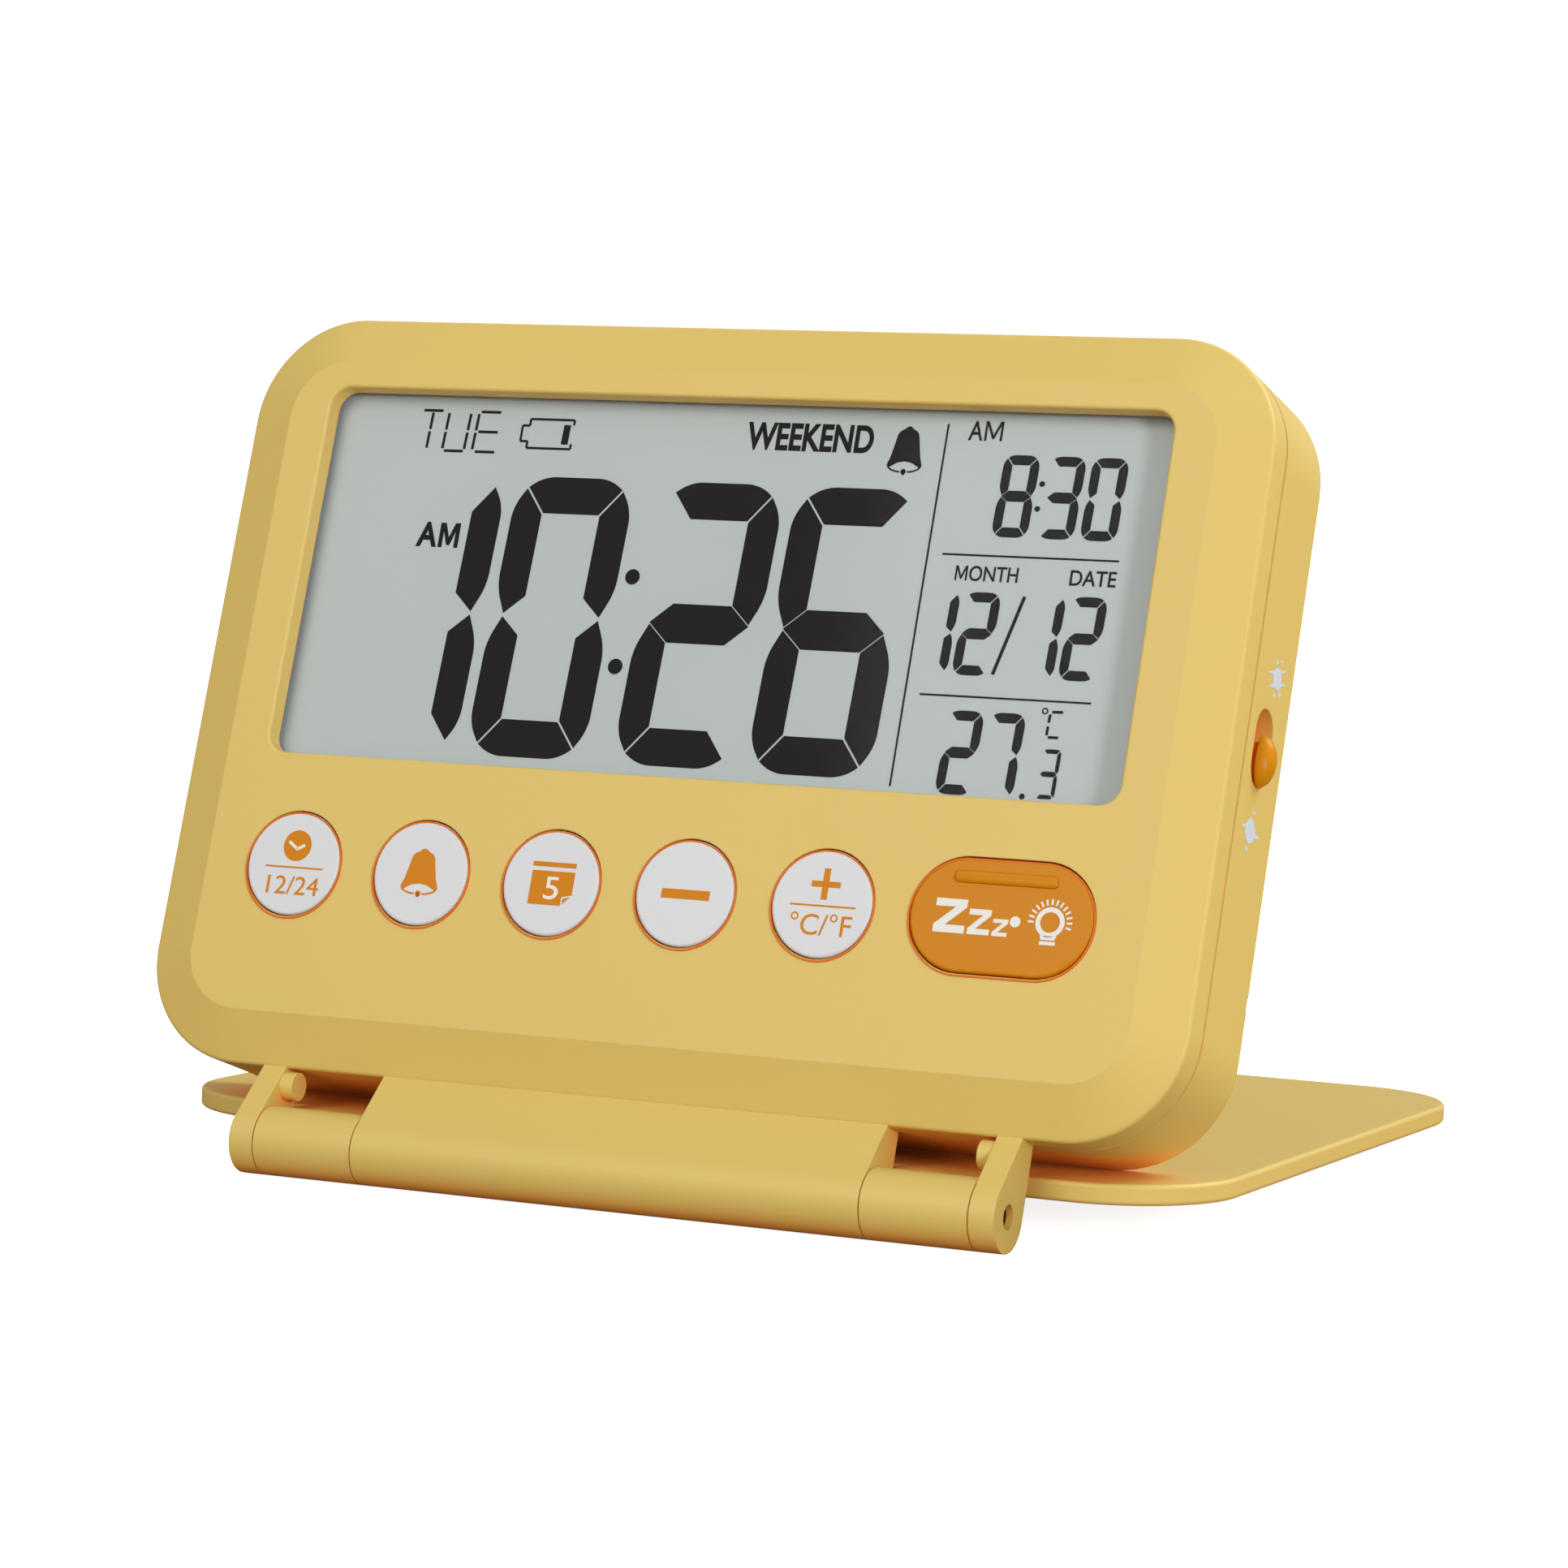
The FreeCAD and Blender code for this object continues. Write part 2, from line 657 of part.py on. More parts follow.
def make_front_shell():
    """Bezel with its sloping bevel, window and button holes, and the fixed half of the hinge."""
    body = new_body("front_shell")
    band_low = size.groove_width - size.front_depth
    prism(body, "GrooveStep", inset_outline(size.groove_depth), -size.front_depth, band_low)
    prism(body, "Band", inset_outline(length(0)), band_low, -size.bevel_depth)
    bevel = body.newObject("PartDesign::AdditiveLoft", "Bevel")
    bevel.Profile = new_sketch(body, "BevelFoot", inset_outline(length(0)), "XY_Plane", (0, 0),
                               -size.bevel_depth)
    bevel.Sections = [new_sketch(body, "BevelTop", inset_outline(size.bevel_width), "XY_Plane", (0, 0), 0)]
    bevel.Ruled = True
    body.Tip = bevel
    round_edges(body, "BevelEdge", size.bevel_edge_radius, at_level(-size.bevel_depth))
    prism(body, "Hollow", inset_outline(size.wall), -size.front_depth, -shoulder_depth, cut=True)
    prism(body, "PanelBack", inset_outline(size.shoulder_inset), -shoulder_depth, -size.panel_wall, cut=True)
    rebate_inset = size.wall - size.lip_thickness - size.fit_gap
    rebate_top = size.lip_height + size.fit_gap - size.front_depth
    prism(body, "LipRebate", inset_outline(rebate_inset), -size.front_depth, rebate_top, cut=True)
    prism(body, "Window", window_outline(length(0)), -size.panel_wall, length(0), at=window_at, cut=True)

    def window_edge(edge):
        centre = edge.BoundBox.Center
        beside = 2 * abs(centre.x) < window_width.value + NEAR
        above = 2 * abs(centre.y - window_rise.value) < window_height.value + NEAR
        return beside and above and at_level(length(0))(edge)

    round_edges(body, "WindowEdge", size.window_edge_radius, window_edge)
    hole_radius = size.button_diameter / 2 + size.button_gap
    for name, at in button_places.items():
        prism(body, name.capitalize() + "Hole", circle(hole_radius), -size.panel_wall, length(0), at=at,
              cut=True)
    snooze_hole = stadium(size.snooze_length + 2 * size.button_gap, size.snooze_width + 2 * size.button_gap)
    prism(body, "SnoozeHole", snooze_hole, -size.panel_wall, length(0), at=snooze_at, cut=True)
    for i, at in enumerate(board_screw_places):
        pilot_end = board_back - size.board_screw_length - size.pilot_spare
        prism(body, f"BoardPost{i}", circle(size.board_post_radius), -board_front, -size.panel_wall, at=at)
        prism(body, f"BoardPilot{i}", circle(size.board_screw_radius + size.thread_gap), -board_front,
              -pilot_end, at=at, cut=True)
    for i, at in enumerate(case_screw_places):
        pilot_end = boss_end - size.case_screw_reach - size.pilot_spare
        prism(body, f"CaseBoss{i}", circle(size.case_boss_radius), -boss_end, -size.panel_wall, at=at)
        prism(body, f"CasePilot{i}", circle(size.case_screw_radius + size.thread_gap), -boss_end, -pilot_end,
              at=at, cut=True)
    for side in SIDES:
        catch_hole = rectangle(size.catch_width + 2 * size.fit_gap, 2 * (size.catch_reach + size.fit_gap))
        catch_middle = catch_level()
        prism(body, f"CatchHole{side}", catch_hole, catch_middle - size.catch_height / 2 - size.fit_gap,
              catch_middle + size.catch_height / 2 + size.fit_gap,
              at=(side * size.catch_spread / 2, half_height - rebate_inset), cut=True)
    hinge_at = (axis_y, axis_z)
    prism(body, "HingeBlock", arm_outline, -block_half, block_half, at=hinge_at, plane="YZ_Plane")
    lug_in = size.barrel_radius - size.lug_radius - size.lug_inset
    lug_z = (lug_in - size.lug_reach * arm_normal_y) / arm_normal_z
    bore = circle(size.pin_radius + size.pin_fit)
    for side in SIDES:
        low, high = span(side, ear_inner, ear_outer)
        prism(body, f"HingeEar{side}", arm_outline, low, high, at=hinge_at, plane="YZ_Plane")
        low, high = span(side, ear_inner - size.lug_length, ear_inner)
        prism(body, f"HingeLug{side}", circle(size.lug_radius), low, high,
              at=(axis_y + size.lug_reach, axis_z + lug_z), plane="YZ_Plane")
        low, high = span(side, block_half - size.pin_bite, ear_outer)
        prism(body, f"PinBore{side}", bore, low, high, at=hinge_at, plane="YZ_Plane", cut=True)


def catch_level():
    """The middle of the snap catches, halfway up the lip."""
    return size.lip_height / 2 - size.front_depth


def make_rear_shell():
    """Back half of the casing: lip, catches, screw tubes, battery well, buzzer seat, switch slot."""
    body = new_body("rear_shell")
    prism(body, "Tray", inset_outline(length(0)), -body_depth, -size.front_depth)
    round_edges(body, "RearEdge", size.rear_edge_radius, at_level(-body_depth))
    prism(body, "Hollow", inset_outline(size.wall), -back_inner, -size.front_depth, cut=True)
    lip_outer = size.wall - size.lip_thickness
    lip_top = size.lip_height - size.front_depth
    prism(body, "Lip", both(inset_outline(lip_outer), inset_outline(size.wall)), -size.front_depth, lip_top)
    for side in SIDES:
        catch_half = size.catch_height / 2
        prism(body, f"Catch{side}", rectangle(size.catch_width, 2 * size.catch_reach),
              catch_level() - catch_half, catch_level() + catch_half,
              at=(side * size.catch_spread / 2, half_height - lip_outer))
    head_seat = boss_end - size.case_screw_reach + size.case_screw_length
    for i, at in enumerate(case_screw_places):
        prism(body, f"TubeFoot{i}", circle(size.case_tube_radius), -back_inner,
              -(head_seat - size.case_seat_wall), at=at)
        prism(body, f"Tube{i}", circle(size.case_boss_radius), -back_inner, -tube_end, at=at)
        prism(body, f"HeadBore{i}", circle(size.case_head_radius + size.screw_play), -body_depth, -head_seat,
              at=at, cut=True)
        prism(body, f"ShankBore{i}", circle(size.case_screw_radius + size.screw_play), -head_seat, -tube_end,
              at=at, cut=True)
    for side in SIDES:
        prism(body, f"Support{side}", circle(size.support_radius), -back_inner, -(board_back + size.fit_gap),
              at=(side * (half_width - size.support_side), half_height - size.support_top))
    cut_battery_well(body)
    rib_outer = size.buzzer_radius
    prism(body, "BuzzerRib", both(circle(rib_outer), circle(rib_outer - size.buzzer_rib_wall)), -back_inner,
          size.buzzer_rib_height - back_inner, at=buzzer_at)
    for i in range(SOUND_SLOTS):
        rise = (i - (SOUND_SLOTS - 1) / 2) * size.sound_slot_pitch
        prism(body, f"SoundSlot{i}", stadium(size.sound_slot_length, size.sound_slot_width), -body_depth,
              -back_inner, at=(size.buzzer_right, size.buzzer_rise + rise), cut=True)
    wall_inner = half_width - size.wall
    prism(body, "SwitchSlot", stadium(size.slot_length, size.slot_width), wall_inner, half_width,
          at=(size.slot_rise, -slot_depth), plane="YZ_Plane", cut=True)
    prism(body, "OpeningNotch", rectangle(size.notch_width, size.notch_height),
          half_width - size.notch_depth, half_width,
          at=(-size.notch_drop, size.notch_height / 2 - body_depth), plane="YZ_Plane", cut=True)


def cut_battery_well(body):
    """The coin cell's well, open at the back, with the ledge that the door's tabs turn under."""
    ceiling_back = well_top + size.well_ceiling
    prism(body, "Well", circle(size.race_radius + size.well_wall), -back_inner, -well_top, at=cell_at)
    prism(body, "CellPocket", circle(cell_wall), -back_inner, -ceiling_back, at=cell_at, cut=True)
    prism(body, "TabRace", circle(size.race_radius), -back_inner, -race_front, at=cell_at, cut=True)
    prism(body, "DoorHole", circle(ring_outer + size.door_gap), -ledge_back, -back_inner, at=cell_at,
          cut=True)
    prism(body, "DoorSeat", circle(size.door_radius + size.door_gap), -body_depth, -ledge_back, at=cell_at,
          cut=True)
    notch = tab(size.cell_radius, size.tab_reach + size.tab_play, size.tab_width + 2 * size.tab_play)
    first_notch = prism(body, "TabNotch", notch, -ledge_back, -back_inner, at=cell_at, cut=True,
                        turn=UNLOCK_ANGLE)
    repeat_round(body, first_notch, TAB_COUNT)
    strip_hole = tab(size.cell_radius, strip_outer + size.fit_gap, size.strip_width + 2 * size.fit_gap)
    prism(body, "StripHole", strip_hole, -race_front, -well_top, at=cell_at, cut=True)
    leg_hole = rectangle(size.leaf_thickness + 2 * size.fit_gap, size.leaf_width + 2 * size.fit_gap)
    prism(body, "LegHole", leg_hole, -ceiling_back, -well_top, at=leg_at, cut=True)


def make_battery_parts():
    """Coin cell, its two contacts and the bayonet door."""
    cell = new_body("coin_cell")
    prism(cell, "Can", circle(size.cell_radius), -cell_back, -cell_front, at=cell_at)
    leaf = new_body("negative_contact")
    prism(leaf, "Leaf", rectangle(size.leaf_length, size.leaf_width), -leaf_back, -leaf_front, at=cell_at)
    prism(leaf, "Leg", rectangle(size.leaf_thickness, size.leaf_width), -leaf_front, -board_back, at=leg_at)
    strip = new_body("positive_contact")
    prism(strip, "Strip", tab(strip_inner, strip_outer, size.strip_width), -(race_front - size.fit_gap),
          -board_back, at=cell_at)
    door = new_body("battery_door")
    prism(door, "Disc", circle(size.door_radius), -body_depth, -disc_front, at=cell_at)
    prism(door, "Hub", circle(ring_outer), -disc_front, -door_inner, at=cell_at)
    ring = both(circle(ring_outer), circle(ring_outer - size.door_ring_wall))
    prism(door, "Ring", ring, -door_inner, -tab_front, at=cell_at)
    door_tab = tab(ring_outer - size.door_ring_wall / 2, size.tab_reach, size.tab_width)
    first_tab = prism(door, "Tab", door_tab, -tab_back, -tab_front, at=cell_at)
    repeat_round(door, first_tab, TAB_COUNT)
    prism(door, "CoinSlot", stadium(size.coin_slot_length, size.coin_slot_width), -body_depth,
          size.coin_slot_depth - body_depth, at=cell_at, cut=True, turn=UNLOCK_ANGLE)
    return door


# Display

def make_display():
    """Lens on its adhesive frame, liquid crystal glass, light guide and side light, holder and connector."""
    lens = new_body("display_lens")
    prism(lens, "Lens", window_outline(size.lens_border), -lens_back, -lens_front, at=window_at)
    tape = new_body("lens_tape")
    frame = both(window_outline(size.lens_border), window_outline(size.lens_border - size.tape_width))
    prism(tape, "Tape", frame, -lens_front, -size.panel_wall, at=window_at)

    glass_width = window_width + 2 * size.glass_border
    glass_height = window_height + 2 * size.glass_border
    short_height = glass_height - size.glass_ledge
    short_at = (0, window_rise + size.glass_ledge / 2)
    glass = new_body("lcd_panel")
    prism(glass, "FrontGlass", rectangle(glass_width, glass_height), -glass_middle, -glass_front,
          at=window_at)
    prism(glass, "RearGlass", rectangle(glass_width, short_height), -glass_back, -glass_middle, at=short_at)

    led_centre = (size.led_width / 2 - glass_width / 2, window_rise)
    led_hole = rectangle(size.led_width + 2 * size.fit_gap, size.led_height + 2 * size.fit_gap)
    sheet_outline = rectangle(glass_width, short_height)
    guide = new_body("light_guide")
    prism(guide, "Guide", sheet_outline, -guide_back, -guide_front, at=short_at)
    prism(guide, "LightNotch", led_hole, -guide_back, -guide_front, at=led_centre, cut=True)
    reflector = new_body("reflector_sheet")
    prism(reflector, "Sheet", sheet_outline, -reflector_back, -reflector_front, at=short_at)
    prism(reflector, "LightNotch", led_hole, -reflector_back, -reflector_front, at=led_centre, cut=True)
    led = new_body("backlight_led")
    prism(led, "Chip", rectangle(size.led_width, size.led_height), -board_front, -guide_front, at=led_centre)

    holder = new_body("display_holder")
    prism(holder, "Frame", window_outline(size.lens_border + size.fit_gap + size.holder_wall), -board_front,
          -lens_front, at=window_at)
    prism(holder, "LensSeat", window_outline(size.lens_border + size.fit_gap), -glass_front, -lens_front,
          at=window_at, cut=True)
    prism(holder, "GlassSeat", rectangle(glass_width + 2 * size.fit_gap, glass_height + 2 * size.fit_gap),
          -board_front, -glass_front, at=window_at, cut=True)

    zebra = new_body("zebra_strip")
    zebra_y = window_rise - glass_height / 2 + size.zebra_width / 2
    prism(zebra, "Strip", rectangle(glass_width - 2 * size.glass_ledge, size.zebra_width), -board_front,
          -glass_middle, at=(0, zebra_y))


# Buttons

def make_button(name, face, flange, at):
    """A push button's cap, the plunger that it presses and the switch under it."""
    cap = new_body(name + "_button")
    prism(cap, "Face", face, -flange_front, size.button_proud, at=at)
    round_edges(cap, "FaceEdge", size.button_edge, at_level(size.button_proud))
    prism(cap, "Flange", flange, -flange_back, -flange_front, at=at)
    prism(cap, "Stem", circle(size.stem_radius), -plunger_front, -flange_back, at=at)
    plunger = new_body(name + "_plunger")
    prism(plunger, "Plunger", circle(size.plunger_radius), -(plunger_front + size.plunger_length),
          -plunger_front, at=at)
    switch = new_body(name + "_switch")
    prism(switch, "Housing", rectangle(size.switch_side, size.switch_side), -board_front, -switch_front,
          at=at)
    prism(switch, "Bore", circle(size.plunger_radius + size.seat_gap), -(switch_front + size.plunger_bore),
          -switch_front, at=at, cut=True)
    return cap


def make_buttons():
    """Five round buttons in a row and the wide snooze button."""
    radius = size.button_diameter / 2
    for name, at in button_places.items():
        make_button(name, circle(radius), circle(radius + size.flange_width), at)
    face = stadium(size.snooze_length, size.snooze_width)
    flange = stadium(size.snooze_length + 2 * size.flange_width, size.snooze_width + 2 * size.flange_width)
    snooze = make_button("snooze", face, flange, snooze_at)
    prism(snooze, "Ridge", stadium(size.ridge_length, size.ridge_width), size.button_proud,
          size.button_proud + size.ridge_height, at=(snooze_at[0], snooze_at[1] + size.ridge_rise))
    round_edges(snooze, "RidgeEdge", size.ridge_edge, at_level(size.button_proud + size.ridge_height))


# Slide switch

def make_slide_switch():
    """Switch body on the board, the slider that sticks out of it, and the knob in the side wall's slot."""
    wall_inner = half_width - size.wall
    flange_high = wall_inner - size.fit_gap
    flange_low = flange_high - size.knob_flange_thickness
    travel = size.slot_length - size.knob_length - size.knob_play
    knob_at = (size.slot_rise - travel / 2, -slot_depth)

    knob = new_body("slide_switch_knob")
    flange_length = size.knob_length + 2 * travel + 2 * size.knob_play
    flange_across = size.slot_width + 2 * size.knob_flange_overlap
    prism(knob, "Flange", rectangle(flange_length, flange_across), flange_low, flange_high, at=knob_at,
          plane="YZ_Plane")
    prism(knob, "Stem", stadium(size.knob_stem_length, size.knob_stem_width), flange_high, half_width,
          at=knob_at, plane="YZ_Plane")
    dome(knob, "Crown", size.knob_length, size.knob_width, size.knob_proud, knob_at, half_width, "YZ_Plane")

    housing_low = slide_housing_edge - size.slide_housing_width
    housing = new_body("slide_switch_housing")
    prism(housing, "Housing", rectangle(size.slide_housing_length, size.slide_housing_height), housing_low,
          slide_housing_edge, at=(size.slot_rise, -(board_back + size.slide_housing_height / 2)),
          plane="YZ_Plane")
    bore_low = slide_housing_edge - size.actuator_bite - size.fit_gap
    prism(housing, "SliderSlot", rectangle(size.actuator_side + travel + 2 * size.fit_gap,
                                           size.actuator_side + 2 * size.fit_gap),
          bore_low, slide_housing_edge, at=(size.slot_rise, -slot_depth), plane="YZ_Plane", cut=True)
    actuator = new_body("slide_switch_actuator")
    prism(actuator, "Slider", rectangle(size.actuator_side, size.actuator_side),
          slide_housing_edge - size.actuator_bite, flange_low, at=knob_at, plane="YZ_Plane")


# Circuit board and its small pieces

def make_board():
    """Board with its screw holes, chip under its blob, crystal can and temperature bead."""
    board = new_body("circuit_board")
    prism(board, "Board", inset_outline(size.wall + size.board_margin), -board_back, -board_front)
    for i, at in enumerate(case_screw_places):
        prism(board, f"Notch{i}", circle(size.board_notch), -board_back, -board_front, at=at, cut=True)
    for i, at in enumerate(board_screw_places):
        prism(board, f"ScrewHole{i}", circle(size.board_screw_radius + size.fit_gap), -board_back,
              -board_front, at=at, cut=True)
    blob = new_body("chip_blob")
    prism(blob, "Blob", circle(size.blob_radius), -(board_back + size.blob_height), -board_back,
          at=(size.middle_place, size.blob_rise))
    round_edges(blob, "Crown", size.blob_edge, at_level(-(board_back + size.blob_height)))
    crystal = new_body("crystal_can")
    prism(crystal, "Can", circle(size.crystal_radius), -(size.crystal_rise + size.crystal_length),
          -size.crystal_rise, at=(size.middle_place, -(board_back + size.crystal_radius)), plane="XZ_Plane")
    bead = new_body("thermistor")
    prism(bead, "Bead", circle(size.bead_radius), -(board_back + size.bead_height), -board_back,
          at=(size.bead_side - half_width, size.bead_foot - half_height))


def make_buzzer():
    """Brass disc on its rib, ceramic disc on the brass, and a spring from the board to each."""
    disc_back = back_inner - size.buzzer_rib_height
    disc_front_face = disc_back - size.buzzer_thickness
    ceramic_front = disc_front_face - size.ceramic_thickness
    disc = new_body("buzzer_disc")
    prism(disc, "Disc", circle(size.buzzer_radius), -disc_back, -disc_front_face, at=buzzer_at)
    ceramic = new_body("buzzer_ceramic")
    prism(ceramic, "Disc", circle(size.ceramic_radius), -disc_front_face, -ceramic_front, at=buzzer_at)
    make_spring("buzzer_spring_centre", buzzer_at, ceramic_front)
    make_spring("buzzer_spring_rim", (size.buzzer_right, size.buzzer_rise - size.spring_offset),
                disc_front_face)


def make_spring(name, at, far_end):
    """A contact spring from the board's back to a given depth."""
    body = new_body(name)
    sketch = new_sketch(body, "WireSketch", offset_circle(size.spring_wire, size.spring_radius), "XZ_Plane",
                        (at[0], -(far_end - size.spring_wire)), -at[1])
    coil = body.newObject("PartDesign::AdditiveHelix", "Coil")
    coil.Profile = sketch
    coil.ReferenceAxis = (sketch, ["V_Axis"])
    coil.Mode = "height-turns-angle"
    bind(coil, "Height", far_end - board_back - 2 * size.spring_wire)
    bind(coil, "Turns", size.spring_turns)


# Screws

def make_screws(name, places, seat, radius, reach, head_radius, head_height):
    """A group of equal screws that point forward, each with a cross recess in its head."""
    screws = []
    for i, at in enumerate(places):
        shank = document.addObject("Part::Cylinder", f"{name}_shank")
        head = document.addObject("Part::Cylinder", f"{name}_head")
        bind(shank, "Radius", radius)
        bind(shank, "Height", reach)
        bind(head, "Radius", head_radius)
        bind(head, "Height", head_height)
        place(shank, at[0], at[1], -seat)
        place(head, at[0], at[1], -(seat + head_height))
        joined = document.addObject("Part::Fuse", f"{name}_blank")
        joined.Base = shank
        joined.Tool = head
        for wide, tall in ((1, 0), (0, 1)):
            slot = document.addObject("Part::Box", f"{name}_slot")
            slot_x = size.recess_width + wide * head_radius
            slot_y = size.recess_width + tall * head_radius
            bind(slot, "Length", slot_x)
            bind(slot, "Width", slot_y)
            bind(slot, "Height", size.recess_depth)
            place(slot, at[0] - slot_x / 2, at[1] - slot_y / 2, -(seat + head_height))
            trimmed = document.addObject("Part::Cut", f"{name}_{i}")
            trimmed.Base = joined
            trimmed.Tool = slot
            joined = trimmed
        screws.append(joined)
    group = document.addObject("Part::Compound", name)
    group.Label = name
    group.Links = screws
    pieces.append(group)


def place(item, x, y, z):
    """Put a primitive at a point that follows the sheet."""
    for axis, amount in zip("xyz", (x, y, z)):
        bind(item, "Placement.Base." + axis, amount)


# Hinge pins and cover

def make_hinge_pins():
    """Two short steel pins, each through an ear and a knuckle into the middle block."""
    for side, name in zip(SIDES, ("left", "right")):
        pin = new_body("hinge_pin_" + name)
        low, high = span(side, block_half - size.pin_bite, ear_outer - size.pin_recess)
        prism(pin, "Pin", circle(size.pin_radius), low, high, at=(axis_y, axis_z), plane="YZ_Plane")


def make_cover():
    """Cover and stand in one: a recessed plate, and two webs that end in hinge knuckles."""
    body = new_body("cover_stand")
    middle = (0, size.cover_setback + cover_length / 2)
    plate_top = size.cover_rise + size.cover_thickness
    plate = rounded_rectangle(cover_width, cover_length, size.cover_corner_radius)
    prism(body, "Plate", plate, size.cover_rise, plate_top, at=middle)
    inner_face = at_level(size.cover_rise)
    outer_face = at_level(plate_top)
    round_edges(body, "PlateEdge", size.cover_edge_radius, lambda edge: inner_face(edge) or outer_face(edge))
    recess = rounded_rectangle(cover_width - 2 * size.cover_rim, cover_length - 2 * size.cover_rim,
                               size.cover_corner_radius - size.cover_rim)
    prism(body, "Recess", recess, size.cover_rise, size.cover_rise + size.cover_recess, at=middle, cut=True)
    web_reach = size.cover_setback + size.cover_rim
    for side in SIDES:
        low, high = span(side, knuckle_inner, knuckle_outer)
        prism(body, f"Web{side}", rectangle(web_reach, size.cover_thickness), low, high,
              at=(web_reach / 2, size.cover_rise + size.cover_thickness / 2), plane="YZ_Plane")
        prism(body, f"Knuckle{side}", circle(size.barrel_radius), low, high, plane="YZ_Plane")
        prism(body, f"KnuckleBore{side}", circle(size.pin_radius + size.pin_running_gap), low, high,
              plane="YZ_Plane", cut=True)
    return body


# The stance. The clock leans back until the round edge at the foot of its back rests on the cover's outer
# face. The cover lies on its far edge and on the hinge barrel.

def stop_angle():
    """The angle in degrees between the clock's face and the cover's outer face, less a right angle."""
    edge = size.rear_edge_radius.value
    from_axis_y = size.axis_drop.value + edge
    from_axis_z = body_depth.value - edge - size.axis_depth.value
    reach = math.hypot(from_axis_y, from_axis_z)
    clear = size.cover_rise.value + size.cover_thickness.value + edge + size.stop_gap.value
    return 90 - math.degrees(math.atan2(from_axis_z, from_axis_y) + math.asin(clear / reach))


def cover_tilt():
    """The angle in degrees at which the cover slopes down from the barrel to its far edge."""
    edge = size.cover_edge_radius.value
    far = cover_far.value - edge
    up = size.cover_rise.value + edge
    sink = math.asin((size.barrel_radius.value - edge) / math.hypot(far, up))
    return math.degrees(sink + math.atan2(up, far))


lean = math.radians(stop_angle() + cover_tilt())
tilt = math.radians(cover_tilt())
edge_far = cover_far.value - size.cover_edge_radius.value
edge_top = size.cover_rise.value + size.cover_thickness.value - size.cover_edge_radius.value
far_edge = edge_far * math.cos(tilt) + edge_top * math.sin(tilt) + size.cover_edge_radius.value
knob_edge = half_width.value + size.knob_proud.value
cover_side = cover_width.value / 2
hinge = FreeCAD.Vector((cover_side - max(knob_edge, cover_side)) / 2,
                       (size.barrel_radius.value - far_edge) / 2, size.barrel_radius.value)
along_x = FreeCAD.Vector(1, 0, 0)
clock_turn = FreeCAD.Rotation(along_x, 90 - math.degrees(lean))
axis_in_clock = FreeCAD.Vector(0, axis_y.value, axis_z.value)
clock_placement = FreeCAD.Placement(hinge - clock_turn.multVec(axis_in_clock), clock_turn)
cover_placement = FreeCAD.Placement(hinge, FreeCAD.Rotation(along_x, -math.degrees(tilt)))


def make_all():
    make_front_shell()
    make_rear_shell()
    make_display()
    make_board()
    make_buttons()
    make_slide_switch()
    make_battery_parts()
    make_buzzer()
    make_hinge_pins()
    make_screws("case_screws", case_screw_places, boss_end - size.case_screw_reach + size.case_screw_length,
                size.case_screw_radius, size.case_screw_length, size.case_head_radius, size.case_head_height)
    make_screws("board_screws", board_screw_places, board_back, size.board_screw_radius,
                size.board_screw_length, size.board_head_radius, size.board_head_height)
    for piece in pieces:
        piece.Placement = clock_placement
    cover = make_cover()
    cover.Placement = cover_placement
    document.recompute()


def check_all():
    """Stop if a feature failed, a cut removed nothing or a piece is not a sound shape."""
    for item in document.Objects:
        if "Invalid" in item.State or "Error" in item.State:
            raise RuntimeError(f"{item.Label} failed: {item.State}")
    for cut in cuts:
        if cut.Shape.Volume > cut.BaseFeature.Shape.Volume - NEAR:
            raise RuntimeError(f"{cut.Label} in {cut.getParentGeoFeatureGroup().Label} cuts nothing")
    for piece in pieces:
        if piece.Shape.isNull() or not piece.Shape.isValid():
            raise RuntimeError(f"{piece.Label} has no sound shape")


def export_all():
    os.makedirs("parts", exist_ok=True)
    for piece in pieces:
        piece.Shape.exportStep(f"parts/{piece.Label}.step")


make_all()
check_all()
export_all()
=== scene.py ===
import json
import math

import bmesh
import bpy
from bpy.props import FloatProperty, FloatVectorProperty, PointerProperty
from mathutils import Matrix, Vector


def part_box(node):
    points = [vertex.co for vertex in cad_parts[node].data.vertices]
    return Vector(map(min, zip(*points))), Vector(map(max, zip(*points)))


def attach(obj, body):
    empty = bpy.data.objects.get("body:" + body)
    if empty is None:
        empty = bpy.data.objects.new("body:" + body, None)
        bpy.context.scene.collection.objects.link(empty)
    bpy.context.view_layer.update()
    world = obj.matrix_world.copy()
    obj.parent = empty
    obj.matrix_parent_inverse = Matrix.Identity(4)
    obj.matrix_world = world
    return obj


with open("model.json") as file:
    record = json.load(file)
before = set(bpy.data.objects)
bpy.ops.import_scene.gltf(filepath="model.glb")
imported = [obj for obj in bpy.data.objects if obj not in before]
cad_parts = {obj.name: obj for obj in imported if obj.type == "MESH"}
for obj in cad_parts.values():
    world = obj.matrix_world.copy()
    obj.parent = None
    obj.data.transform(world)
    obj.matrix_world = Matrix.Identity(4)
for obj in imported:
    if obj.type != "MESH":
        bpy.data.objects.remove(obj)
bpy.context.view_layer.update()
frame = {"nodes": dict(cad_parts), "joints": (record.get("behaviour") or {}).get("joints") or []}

bl_info = {
    "name": "Folding travel alarm clock",
    "version": (1, 0, 0),
    "blender": (4, 5, 0),
    "location": "3D View > Sidebar > Clock",
    "description": "Finishes a folding travel alarm clock and prints its display and button legends",
    "category": "Object",
}

MM = 0.001
# In millimetres: points nearer than SAME are merged, and a cut within HAIR of a point goes through it
SAME = 0.0005
HAIR = 0.0001


